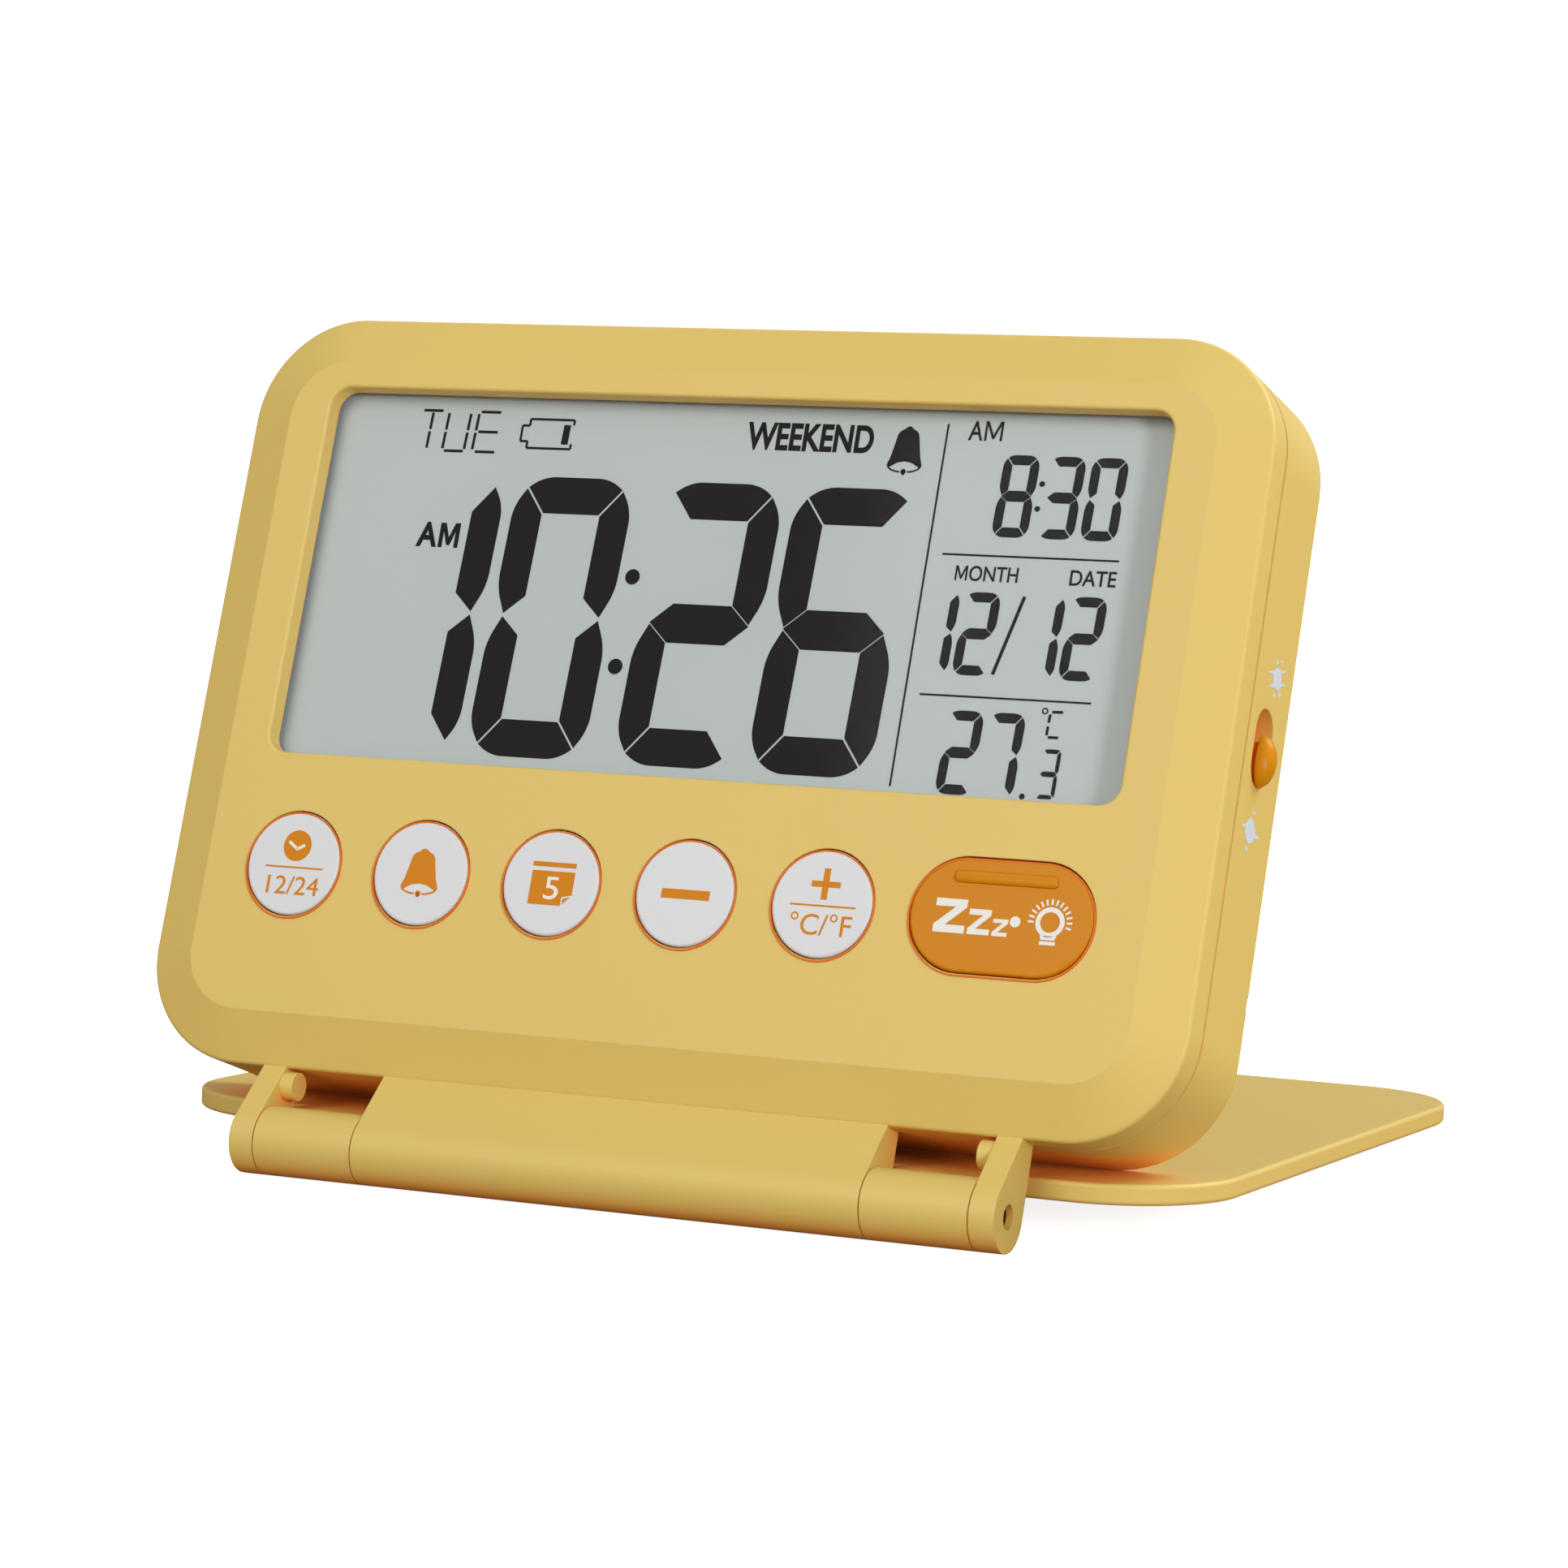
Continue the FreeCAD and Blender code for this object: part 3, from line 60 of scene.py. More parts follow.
def linear(code, alpha=1.0):
    """An sRGB hex colour as linear red, green, blue and alpha."""
    parts = [int(code[i:i + 2], 16) / 255 for i in (1, 3, 5)]
    return (*[c / 12.92 if c <= 0.04045 else ((c + 0.055) / 1.055) ** 2.4 for c in parts], alpha)


def length_of(millimetres, name, description):
    """A length for the panel."""
    return FloatProperty(name=name, description=description, default=millimetres * MM, unit="LENGTH",
                         precision=5)


def angle_of(degrees, name, description):
    """An angle for the panel."""
    return FloatProperty(name=name, description=description, default=math.radians(degrees), unit="ROTATION")


def colour_of(code, name, description):
    """A colour for the panel."""
    return FloatVectorProperty(name=name, description=description, default=linear(code), size=4,
                               subtype="COLOR", min=0, max=1)


class ClockSizes(bpy.types.PropertyGroup):
    """Sizes of the prints, the finishes' grain and the studio"""

    hinge_below: length_of(39.65, "Hinge below", "How far the hinge axis lies below the middle of the face")
    hinge_behind: length_of(1.1, "Hinge behind", "How far the hinge axis lies behind the face")
    case_half_width: length_of(47.5, "Case half width", "From the face's middle to the case's right side")
    glass_depth: length_of(2.5, "Glass depth", "Depth of the display's front glass behind the face")
    cap_height: length_of(0.1, "Cap height", "How far the button caps stand proud of the face")
    legend_rise: length_of(0.2, "Legend rise", "How far the legends sit above the middle of the round caps")
    legend_shift: length_of(0.07, "Legend shift", "How far right of the round caps' middle the legends sit")
    legend_line: length_of(0.15, "Legend line", "Width of the thin lines in the legends")
    # The seals are orange rings in the gaps round the caps: painted glow and shade
    glow_ring_depth: length_of(0.11, "Seal depth", "Depth of the dust seals' floor behind the face")
    glow_ring_width: length_of(0.14, "Seal width", "Width of the dust seals in the gaps round the caps")
    glow_ring_radius: length_of(4.575, "Seal radius", "Radius of the dust seals of the round caps")
    snooze_reach: length_of(3.25, "Snooze reach", "From the snooze cap's middle to the centres of its ends")
    snooze_half_height: length_of(4.775, "Snooze half height", "Half the height of the snooze cap's seal")
    ridge_length: length_of(9.0, "Ridge length", "Length of the finger ridge on the snooze cap")
    ridge_radius: length_of(0.42, "Ridge radius", "Half the width of the finger ridge on the snooze cap")
    ridge_height: length_of(0.25, "Ridge height", "Height of the finger ridge on the snooze cap")
    ridge_rise: length_of(3.2, "Ridge rise", "How far the finger ridge sits above the snooze cap's middle")
    print_lift: length_of(0.004, "Print lift", "Gap between a print and what carries it")
    print_thickness: length_of(0.02, "Print thickness", "Thickness of one layer of print")
    time_width: length_of(11.5, "Time digit width", "Width of the digits that tell the time")
    time_height: length_of(24.92, "Time digit height", "Height of the digits that tell the time")
    time_upright: length_of(3.05, "Time upright", "Width of the upright segments of the time")
    time_bar: length_of(3.42, "Time bar", "Height of the level segments of the time")
    time_gap: length_of(0.17, "Time gap", "Gap between the segments of the time")
    small_width: length_of(3.3, "Small digit width", "Width of the alarm, date and temperature digits")
    small_height: length_of(7.14, "Small digit height", "Height of the alarm, date and temperature digits")
    small_upright: length_of(0.9, "Small upright", "Width of the upright segments of the small digits")
    small_bar: length_of(0.94, "Small bar", "Height of the level segments of the small digits")
    small_gap: length_of(0.09, "Small gap", "Gap between the segments of the small digits")
    digit_lean: angle_of(1.53, "Digit lean", "How far the digits lean to the right")
    rule_width: length_of(0.17, "Rule width", "Width of the thin lines on the display")
    satin_grain: length_of(0.2, "Satin grain", "Spacing of the spark-eroded grain on the mouldings")
    edge_softness: length_of(0.15, "Edge softness", "Radius that a mould leaves on sharp edges")
    floor_size: length_of(6000, "Floor size", "Width of the studio floor")
    camera_distance: length_of(435.74, "Camera distance", "From the camera to the point that it looks at")
    camera_aim_across: length_of(-3.555, "Camera aim across", "The point that the camera looks at, across")
    camera_aim_up: length_of(31.23, "Camera aim up", "The point that the camera looks at, above the table")
    camera_turn: angle_of(25.454, "Camera turn", "Angle round to the clock's right")
    camera_rise: angle_of(6.429, "Camera rise", "Angle above the table")
    camera_roll: angle_of(0.701, "Camera roll", "Turn of the camera about its own axis")
    camera_lens: FloatProperty(name="Camera lens", default=113.82, unit="CAMERA",
                               description="Focal length in millimetres on a 36 mm sensor")


class ClockColours(bpy.types.PropertyGroup):
    """Colours of the mouldings, the inks and the display"""

    yellow: colour_of("#D7BC67", "Yellow", "Shells, cover and battery door")
    # Painted shade and glow: mixed into the yellow in corners and recesses, and emitted there
    yellow_hollow: colour_of("#E8973E", "Yellow hollow", "Yellow plastic in its deepest corners")
    orange: colour_of("#C98004", "Orange", "Snooze button")
    # Painted shade and glow: mixed into the orange in its corners, and emitted there
    orange_shade_glow: colour_of("#C85A10", "Orange hollow", "Orange plastic in its deepest corners")
    amber: colour_of("#CC8400", "Amber", "Slide switch knob")
    # Painted shade and glow: mixed into the amber in its slot and corners, and emitted there
    amber_shade_glow: colour_of("#D84A08", "Amber hollow", "Amber plastic in its deepest corners")
    # Painted glow and shade: the orange of the rings in the gaps round the buttons
    seal: colour_of("#D8701A", "Seal", "Dust seals round the buttons")
    white: colour_of("#D6D9DF", "White", "Round buttons")
    orange_ink: colour_of("#CD8016", "Orange ink", "Legends on the round buttons")
    white_ink: colour_of("#E4E6E4", "White ink", "Legends on the snooze button")
    side_ink: colour_of("#C8D3E0", "Side ink", "Marks beside the slide switch")
    display: colour_of("#B4BEC0", "Display", "Bare display behind its segments")
    segment: colour_of("#1E1E1E", "Segment", "Dark segments of the display")
    floor: colour_of("#F4F4F4", "Floor", "Studio floor")
    bounce: colour_of("#A08C6C", "Bounce", "Light that the floor throws back at the clock")
    sky_bright: colour_of("#FFFFFF", "Bright side", "Surroundings at the front, right and top")
    sky_dim: colour_of("#F0DDBC", "Dim side", "Surroundings at the left")


def sized(name):
    """A size from the panel, in millimetres."""
    return getattr(bpy.context.scene.clock_sizes, name) / MM


def coloured(name):
    """A colour from the panel."""
    return tuple(getattr(bpy.context.scene.clock_colours, name))


def face_place(x=0.0, y=0.0, z=0.0):
    """Where a point of the clock's face lies in the frame.

    The point is given across the face, up it and out of it, in millimetres from its middle. The axes come
    from the joints.
    """
    joints = {joint["name"]: joint for joint in frame["joints"]}
    up = Vector(joints["alarm_switch_slide"]["axis"]).normalized()
    out = -Vector(joints["clock_press"]["axis"]).normalized()
    across = up.cross(out)
    hinge = Vector(joints["cover_hinge"]["pos_m"])
    middle = hinge + up * sized("hinge_below") * MM + out * sized("hinge_behind") * MM
    turn = Matrix((across, up, out)).transposed().to_4x4()
    return Matrix.Translation(middle) @ turn @ Matrix.Scale(MM, 4) @ Matrix.Translation((x, y, z))


# Flat shapes for prints, in millimetres

SMALL_SIDES = 20


def polygon(mesh, points):
    """A flat face through points."""
    return mesh.faces.new([mesh.verts.new((x, y, 0)) for x, y in points])


def bar(mesh, start, end, width):
    """A straight stroke with square ends."""
    start, end = Vector(start).to_3d(), Vector(end).to_3d()
    along = end - start
    turn = Matrix.Rotation(math.atan2(along.y, along.x), 4, "Z")
    place = Matrix.Translation((start + end) / 2) @ turn @ Matrix.Diagonal((along.length, width, 1, 1))
    bmesh.ops.create_grid(mesh, x_segments=1, y_segments=1, size=0.5, matrix=place)


def disc(mesh, centre, radius, sides=40):
    """A round spot."""
    bmesh.ops.create_circle(mesh, cap_ends=True, segments=sides, radius=radius,
                            matrix=Matrix.Translation((*centre, 0)))


def bow(mesh, centre, radius, width, first=0.0, last=360.0, steps=40):
    """A stroke along an arc between two angles in degrees."""
    full = last - first >= 360
    centre = Vector((*centre, 0))
    ray = Matrix.Rotation(math.radians(first), 3, "Z") @ Vector((1, 0, 0))
    ends = [mesh.verts.new(centre + ray * (radius + side * width / 2)) for side in (-1, 1)]
    edge = mesh.edges.new(ends)
    bmesh.ops.spin(mesh, geom=[*ends, edge], cent=centre, axis=(0, 0, 1), angle=math.radians(last - first),
                   steps=steps, use_merge=full)


def words(mesh, text, left, right, bottom, top, weight=0.0):
    """Lettering in the plain built-in face, fitted into a box. Its weight fattens the strokes."""
    curve = bpy.data.curves.new("words", "FONT")
    curve.body = text
    curve.offset = weight
    letters = bpy.data.objects.new("words", curve)
    outline = bpy.data.meshes.new_from_object(letters)
    xs = [vertex.co.x for vertex in outline.vertices]
    ys = [vertex.co.y for vertex in outline.vertices]
    wide, high = (right - left) / (max(xs) - min(xs)), (top - bottom) / (max(ys) - min(ys))
    to_corner = Matrix.Translation((-min(xs), -min(ys), 0))
    outline.transform(Matrix.Translation((left, bottom, 0)) @ Matrix.Diagonal((wide, high, 1, 1)) @ to_corner)
    mesh.from_mesh(outline)
    bpy.data.objects.remove(letters)
    bpy.data.curves.remove(curve)
    bpy.data.meshes.remove(outline)


def thicken(mesh, thickness):
    """Turn flat shapes into thin closed plates."""
    bmesh.ops.remove_doubles(mesh, verts=mesh.verts[:], dist=SAME)
    raised = bmesh.ops.extrude_face_region(mesh, geom=mesh.faces[:], use_keep_orig=True)["geom"]
    tops = [item for item in raised if isinstance(item, bmesh.types.BMVert)]
    bmesh.ops.translate(mesh, verts=tops, vec=(0, 0, thickness))
    bmesh.ops.recalc_face_normals(mesh, faces=mesh.faces[:])
    for face in mesh.faces:
        face.smooth = False


def add_piece(name, shape, place, body, material):
    """Make a piece and put it on the body that carries it."""
    mesh = bmesh.new()
    shape(mesh)
    mesh.transform(place @ Matrix.Translation((0, 0, sized("print_lift"))))
    data = bpy.data.meshes.new(name)
    mesh.to_mesh(data)
    mesh.free()
    data.materials.append(material)
    piece = bpy.data.objects.new(name, data)
    bpy.context.scene.collection.objects.link(piece)
    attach(piece, body)


def print_piece(name, draw, place, body, material, layers=1):
    """Draw a print and give it its thickness."""
    def shape(mesh):
        draw(mesh)
        thicken(mesh, layers * sized("print_thickness"))
    add_piece(name, shape, place, body, material)


# Segment digits. The segments a to f run clockwise from the top, and g is in the middle. The shares are of an
# upright segment's width sideways, and of a level one's height up and down.

DIGITS = {"0": "abcdef", "1": "bc", "2": "abged", "3": "abgcd", "6": "acdefg", "7": "abc", "8": "abcdefg"}
TIP_SHARE = 0.37
NICK_SHARE = 0.3
SHOULDER_SHARE = 0.82
HIP_SHARE = 0.72
ROUND_SHARE = 0.35


def segment(mesh, letter, width, height, upright, level):
    """One segment of a digit whose origin is the middle of its left side."""
    half = height / 2
    tip, nick = TIP_SHARE * upright, NICK_SHARE * level
    shoulder = SHOULDER_SHARE * upright
    if letter in "ad":
        points = [(shoulder, half), (width - shoulder, half), (width - tip, half - nick),
                  (width - upright, half - level), (upright, half - level), (tip, half - nick)]
    elif letter == "g":
        points = [(tip, 0), (upright, level / 2), (width - upright, level / 2), (width - tip, 0),
                  (width - upright, -level / 2), (upright, -level / 2)]
    else:
        points = [(0, HIP_SHARE * level), (0, half - SHOULDER_SHARE * level), (tip, half - nick),
                  (upright, half - level), (upright, level / 2), (tip, 0)]
    mirror_x = -1 if letter in "bc" else 1
    mirror_y = -1 if letter in "cde" else 1
    start = width if mirror_x < 0 else 0
    face = polygon(mesh, [(start + mirror_x * x, mirror_y * y) for x, y in points])
    if letter != "g":
        corners = face.verts[:2]
        bmesh.ops.bevel(mesh, geom=corners, offset=ROUND_SHARE * upright, segments=4, profile=0.5,
                        affect="VERTICES", material=-1)


def digits(mesh, text, starts, middle, width, height, upright, level, gap):
    """Segment digits, each with its left side at a start, that lean to the right."""
    for sign, start in zip(text, starts):
        for letter in DIGITS[sign]:
            part = bmesh.new()
            segment(part, letter, width, height, upright, level)
            rim = bmesh.ops.inset_region(part, faces=part.faces[:], thickness=gap / 2, use_boundary=True,
                                         use_even_offset=True)["faces"]
            bmesh.ops.delete(part, geom=rim, context="FACES")
            shear = Matrix.Identity(4)
            shear[0][1] = math.tan(bpy.context.scene.clock_sizes.digit_lean)
            part.transform(Matrix.Translation((start, middle, 0)) @ shear)
            flat = bpy.data.meshes.new("segment")
            part.to_mesh(flat)
            part.free()
            mesh.from_mesh(flat)
            bpy.data.meshes.remove(flat)


def sized_digits(mesh, kind, text, starts, middle):
    """Digits of one of the display's two main sizes."""
    digits(mesh, text, starts, middle, *[sized(f"{kind}_{part}") for part in
                                         ("width", "height", "upright", "bar", "gap")])


# A bell's right half from the top down, and its open rim, as shares of half its width and height
BELL_BODY = [(0, 1.0), (0.15, 0.95), (0.27, 0.86), (0.46, 0.8), (0.58, 0.68), (0.64, 0.52), (0.73, 0.15),
             (0.84, -0.25), (0.97, -0.52), (1.0, -0.63), (0.9, -0.7), (0.78, -0.66), (0.42, -0.5), (0, -0.44)]
BELL_RIM = [(0.93, -0.68), (0.72, -0.79), (0.45, -0.85), (0.22, -0.87)]


def bell(mesh, centre, width, height):
    """A bell from the front: body, thin rim and clapper."""
    def spot(x, y):
        return centre[0] + x * width / 2, centre[1] + y * height / 2
    polygon(mesh, [spot(x, y) for x, y in BELL_BODY + [(-x, y) for x, y in reversed(BELL_BODY[1:-1])]])
    for side in (-1, 1):
        points = [spot(side * x, y) for x, y in BELL_RIM]
        for start, end in zip(points, points[1:]):
            bar(mesh, start, end, 0.045 * width)
    disc(mesh, spot(0, -0.86), 0.075 * width, sides=SMALL_SIDES)
    bar(mesh, spot(0, -0.8), spot(0, -1), 0.07 * width)


# Materials

def add_node(tree, kind, inputs=None, **settings):
    """Add a node with its settings. Each input is a value or the output that feeds it."""
    node = tree.nodes.new(kind)
    for name, value in settings.items():
        setattr(node, name, value)
    for name, value in (inputs or {}).items():
        if isinstance(value, bpy.types.NodeSocket):
            tree.links.new(value, node.inputs[name])
        else:
            node.inputs[name].default_value = value
    return node


def per_metre(millimetres):
    """The texture scale whose pattern repeats at a spacing."""
    return 1 / (millimetres * MM)


def shade(colour, factor):
    """A colour made lighter or darker."""
    return (*[min(1.0, c * factor) for c in colour[:3]], 1.0)


def new_material(name):
    """A material with an empty node tree."""
    material = bpy.data.materials.new(name)
    material.use_nodes = True
    tree = material.node_tree
    tree.nodes.clear()
    return material, tree


# Painted shade and painted glow for plastic. The two reaches below are how far ambient occlusion
# feels for walls, in millimetres. The painted shade is full at one share of open sky and nothing at
# another, and the last share scales a painted glow: an emission that stands in for light let through
# translucent walls.
NEARBY = 6
AROUND = 15
FULL_PAINTED_SHADE = 0.05
NO_PAINTED_SHADE = 0.5
PAINTED_GLOW_STRENGTH = 0.7
# How much a finish's gloss goes up and down with its grain, as a share
UNEVEN = 0.1


def surface(name, colour, roughness, grain, depth, spread=0.03, cloud=18.0, metallic=0.0, soft=0.0,
            shade_glow=None, gloss=0.5, extra=None):
    """A finish with an even grain in its relief and gloss, and a faint drift in its colour.

    The spacings of the grain and the cloud, the relief's depth and the soft radius are in millimetres.
    A plastic may have a shade-and-glow colour too. Ambient occlusion mixes it in as painted shade in its
    corners and recesses, and it shows there as a painted glow too: an emission that stands in for light
    through translucent walls.
    """
    material, tree = new_material(name)
    position = add_node(tree, "ShaderNodeTexCoord").outputs["Object"]
    drift = add_node(tree, "ShaderNodeTexNoise", {"Vector": position, "Scale": per_metre(cloud),
                                                  "Detail": 2.0})
    tone = add_node(tree, "ShaderNodeMix", {0: drift.outputs[0], 6: shade(colour, 1 - spread),
                                            7: shade(colour, 1 + spread)}, data_type="RGBA").outputs[2]
    inputs = {"Metallic": metallic, "Specular IOR Level": gloss, **(extra or {})}
    # Painted shade in corners and recesses, and a painted glow there, both from ambient occlusion
    if shade_glow:
        near, wide = [add_node(tree, "ShaderNodeAmbientOcclusion", {"Distance": reach * MM},
                               samples=6).outputs["AO"] for reach in (NEARBY, AROUND)]
        painted_shade_mask = add_node(tree, "ShaderNodeMapRange", {"Value": near, "From Min": FULL_PAINTED_SHADE,
                                                     "From Max": NO_PAINTED_SHADE, "To Min": 1.0,
                                                     "To Max": 0.0}).outputs[0]
        tone = add_node(tree, "ShaderNodeMix", {0: painted_shade_mask, 6: tone, 7: shade_glow}, data_type="RGBA").outputs[2]
        painted_glow_share = add_node(tree, "ShaderNodeMath", {0: wide, 1: PAINTED_GLOW_STRENGTH}, operation="MULTIPLY").outputs[0]
        share = add_node(tree, "ShaderNodeMath", {0: painted_glow_share, 1: painted_shade_mask}, operation="MULTIPLY").outputs[0]
        inputs["Emission Color"] = add_node(tree, "ShaderNodeMix", {0: share, 6: (0, 0, 0, 1), 7: shade_glow},
                                            data_type="RGBA").outputs[2]
        inputs["Emission Strength"] = 1.0
    fine = add_node(tree, "ShaderNodeTexNoise", {"Vector": position, "Scale": per_metre(grain),
                                                 "Detail": 2.0, "Roughness": 0.6})
    sheen = add_node(tree, "ShaderNodeMapRange", {"Value": fine.outputs[0],
                                                  "To Min": roughness * (1 - UNEVEN),
                                                  "To Max": roughness * (1 + UNEVEN)})
    bump_inputs = {"Height": fine.outputs[0], "Strength": 1.0, "Distance": depth * MM}
    if soft:
        rounded = add_node(tree, "ShaderNodeBevel", {"Radius": soft * MM}, samples=4)
        bump_inputs["Normal"] = rounded.outputs[0]
    relief = add_node(tree, "ShaderNodeBump", bump_inputs)
    shader = add_node(tree, "ShaderNodeBsdfPrincipled", {"Base Color": tone, "Roughness": sheen.outputs[0],
                                                         "Normal": relief.outputs[0], **inputs})
    add_node(tree, "ShaderNodeOutputMaterial", {"Surface": shader.outputs[0]})
    return material


def satin_abs(name, colour):
    """ABS moulded in a spark-eroded tool: an even fine grain that spreads the highlights, and soft edges."""
    # Its corners and recesses get painted shade and a painted glow from its second colour
    return surface(name, coloured(colour), roughness=0.5, grain=sized("satin_grain"), depth=0.004,
                   spread=0.015, soft=sized("edge_softness"), shade_glow=coloured(colour + "_hollow"), gloss=0.5)


def polished_abs(name, colour, shade_glow=None):
    """ABS moulded in a polished tool: a soft gloss over a barely uneven skin."""
    # With a second colour, its corners get painted shade and a painted glow too
    return surface(name, coloured(colour), roughness=0.35, grain=0.6, depth=0.003, spread=0.01,
                   soft=sized("edge_softness"), shade_glow=coloured(shade_glow) if shade_glow else None, gloss=0.14)


def painted_glow_rubber(name):
    """Matt orange, like silicone rubber: painted glow and shade in the gaps round the caps."""
    return surface(name, coloured("seal"), roughness=0.6, grain=0.1, depth=0.002, gloss=0.2)


def screen_ink(name, colour):
    """Pad-printed ink: a thin matt layer with a faint mesh mark."""
    return surface(name, coloured(colour), roughness=0.55, grain=0.12, depth=0.002, spread=0.02,
                   cloud=2.0, gloss=0.15)


def liquid_crystal(name):
    """A liquid crystal panel's front polariser: matt film over a silvery grey reflector."""
    return surface(name, coloured("display"), roughness=0.5, grain=0.08, depth=0.001, spread=0.012,
                   cloud=40.0, gloss=0.1)


def dark_crystal(name):
    """Liquid crystal switched dark, under the matt film: nearly black, and dull."""
    return surface(name, coloured("segment"), roughness=0.6, grain=0.1, depth=0.0005, spread=0.05,
                   cloud=8.0, gloss=0.08)


def metal(name, code, roughness, grain, depth=0.001):
    """Bare or plated metal: its colour is in its mirror, and the grain in its gloss."""
    return surface(name, linear(code), roughness, grain, depth, metallic=1.0)


# An anti-glare coat mirrors far less than bare acrylic, as if it bent light as little as this
COAT_REFRACTION = 1.07


def clear_acrylic(name):
    """Polished clear acrylic with an anti-glare coat: clear, and a weak mirror at a slant."""
    material, tree = new_material(name)
    position = add_node(tree, "ShaderNodeTexCoord").outputs["Object"]
    ripple = add_node(tree, "ShaderNodeTexNoise", {"Vector": position, "Scale": per_metre(15.0),
                                                   "Detail": 0.0})
    relief = add_node(tree, "ShaderNodeBump", {"Height": ripple.outputs[0], "Strength": 0.3,
                                               "Distance": 0.01 * MM})
    edge = add_node(tree, "ShaderNodeFresnel", {"IOR": COAT_REFRACTION, "Normal": relief.outputs[0]})
    through = add_node(tree, "ShaderNodeBsdfTransparent", {"Color": (1, 1, 1, 1)})
    mirror = add_node(tree, "ShaderNodeBsdfGlossy", {"Color": (1, 1, 1, 1), "Roughness": 0.06,
                                                     "Normal": relief.outputs[0]})
    both = add_node(tree, "ShaderNodeMixShader", {0: edge.outputs[0], 1: through.outputs[0],
                                                  2: mirror.outputs[0]})
    add_node(tree, "ShaderNodeOutputMaterial", {"Surface": both.outputs[0]})
    return material


def green_laminate(name):
    """Solder mask on woven glass laminate: glossy dark green with a faint weave."""
    return surface(name, linear("#1D5A35"), roughness=0.3, grain=0.5, depth=0.01, spread=0.08, cloud=3.0)


def zebra_rubber(name):
    """Silicone rubber in thin conducting and plain layers, drawn coarser than real so that they show."""
    material, tree = new_material(name)
    position = add_node(tree, "ShaderNodeTexCoord").outputs["Object"]
    stripes = add_node(tree, "ShaderNodeTexWave", {"Vector": position, "Scale": per_metre(2.0),
                                                   "Distortion": 0.0}, bands_direction="X")
    tone = add_node(tree, "ShaderNodeMix", {0: stripes.outputs["Fac"], 6: linear("#C98F86"),
                                            7: linear("#2A2626")}, data_type="RGBA")
    shader = add_node(tree, "ShaderNodeBsdfPrincipled", {"Base Color": tone.outputs[2], "Roughness": 0.7})
    add_node(tree, "ShaderNodeOutputMaterial", {"Surface": shader.outputs[0]})
    return material


# How bright the floor is by its own light, to the camera
FLOOR_LIGHT = 0.85


def floor_paper(name):
    """White studio paper: pure white in the picture, with a dim warm bounce onto the clock."""
    material, tree = new_material(name)
    position = add_node(tree, "ShaderNodeTexCoord").outputs["Object"]
    fibres = add_node(tree, "ShaderNodeTexNoise", {"Vector": position, "Scale": per_metre(1.5),
                                                   "Detail": 3.0})
    relief = add_node(tree, "ShaderNodeBump", {"Height": fibres.outputs[0], "Strength": 0.2,
                                               "Distance": 0.01 * MM})
    paper = add_node(tree, "ShaderNodeBsdfDiffuse", {"Color": coloured("floor"),
                                                     "Normal": relief.outputs[0]})
    light = add_node(tree, "ShaderNodeEmission", {"Color": (1, 1, 1, 1), "Strength": FLOOR_LIGHT})
    seen = add_node(tree, "ShaderNodeAddShader", {0: paper.outputs[0], 1: light.outputs[0]})
    bounce = add_node(tree, "ShaderNodeBsdfDiffuse", {"Color": coloured("bounce")})
    ray = add_node(tree, "ShaderNodeLightPath").outputs["Is Camera Ray"]
    both = add_node(tree, "ShaderNodeMixShader", {0: ray, 1: bounce.outputs[0], 2: seen.outputs[0]})
    add_node(tree, "ShaderNodeOutputMaterial", {"Surface": both.outputs[0]})
    return material


def finish_nodes(material, *names):
    """Give carried-over pieces their finish."""
    for name in names:
        piece = frame["nodes"][name]
        for slot in piece.material_slots:
            slot.material = material
        if not piece.material_slots:
            piece.data.materials.append(material)


CAPS = ("clock", "alarm", "calendar", "minus", "plus", "snooze")
# Where the snooze cap's legend sits on it, in millimetres, and how many layers of print thick the
# orange rings of painted glow and shade round the caps are
SNOOZE_SHIFT = (0.05, 0.13, 0)
GLOW_RING_LAYERS = 11


def cap_place(name):
    """The middle of a button's face, from where its cap stands in the frame."""
    low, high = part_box(name + "_button")
    middle = face_place().inverted() @ ((low + high) / 2)
    return face_place(middle.x, middle.y, sized("cap_height"))


class CLOCK_OT_case(bpy.types.Operator):
    """Finish the two shells, the cover and the battery door in satin yellow"""

    bl_idname = "clock.case"
    bl_label = "Case"

    def execute(self, context):
        # With painted shade and a painted glow in the yellow's corners and recesses
        finish_nodes(satin_abs("satin_yellow_abs", "yellow"), "front_shell", "rear_shell", "cover_stand",
                     "battery_door")
        # Nickel plating on cold-headed screws: warm grey with a soft mirror
        finish_nodes(metal("nickel_plated_steel", "#B9B6B0", roughness=0.3, grain=0.1),
                     "case_screws", "board_screws")
        # Steel pins in black oxide: dark, with a dull mirror
        finish_nodes(metal("blackened_steel", "#1F1C1A", roughness=0.45, grain=0.1),
                     "hinge_pin_left", "hinge_pin_right")
        return {"FINISHED"}


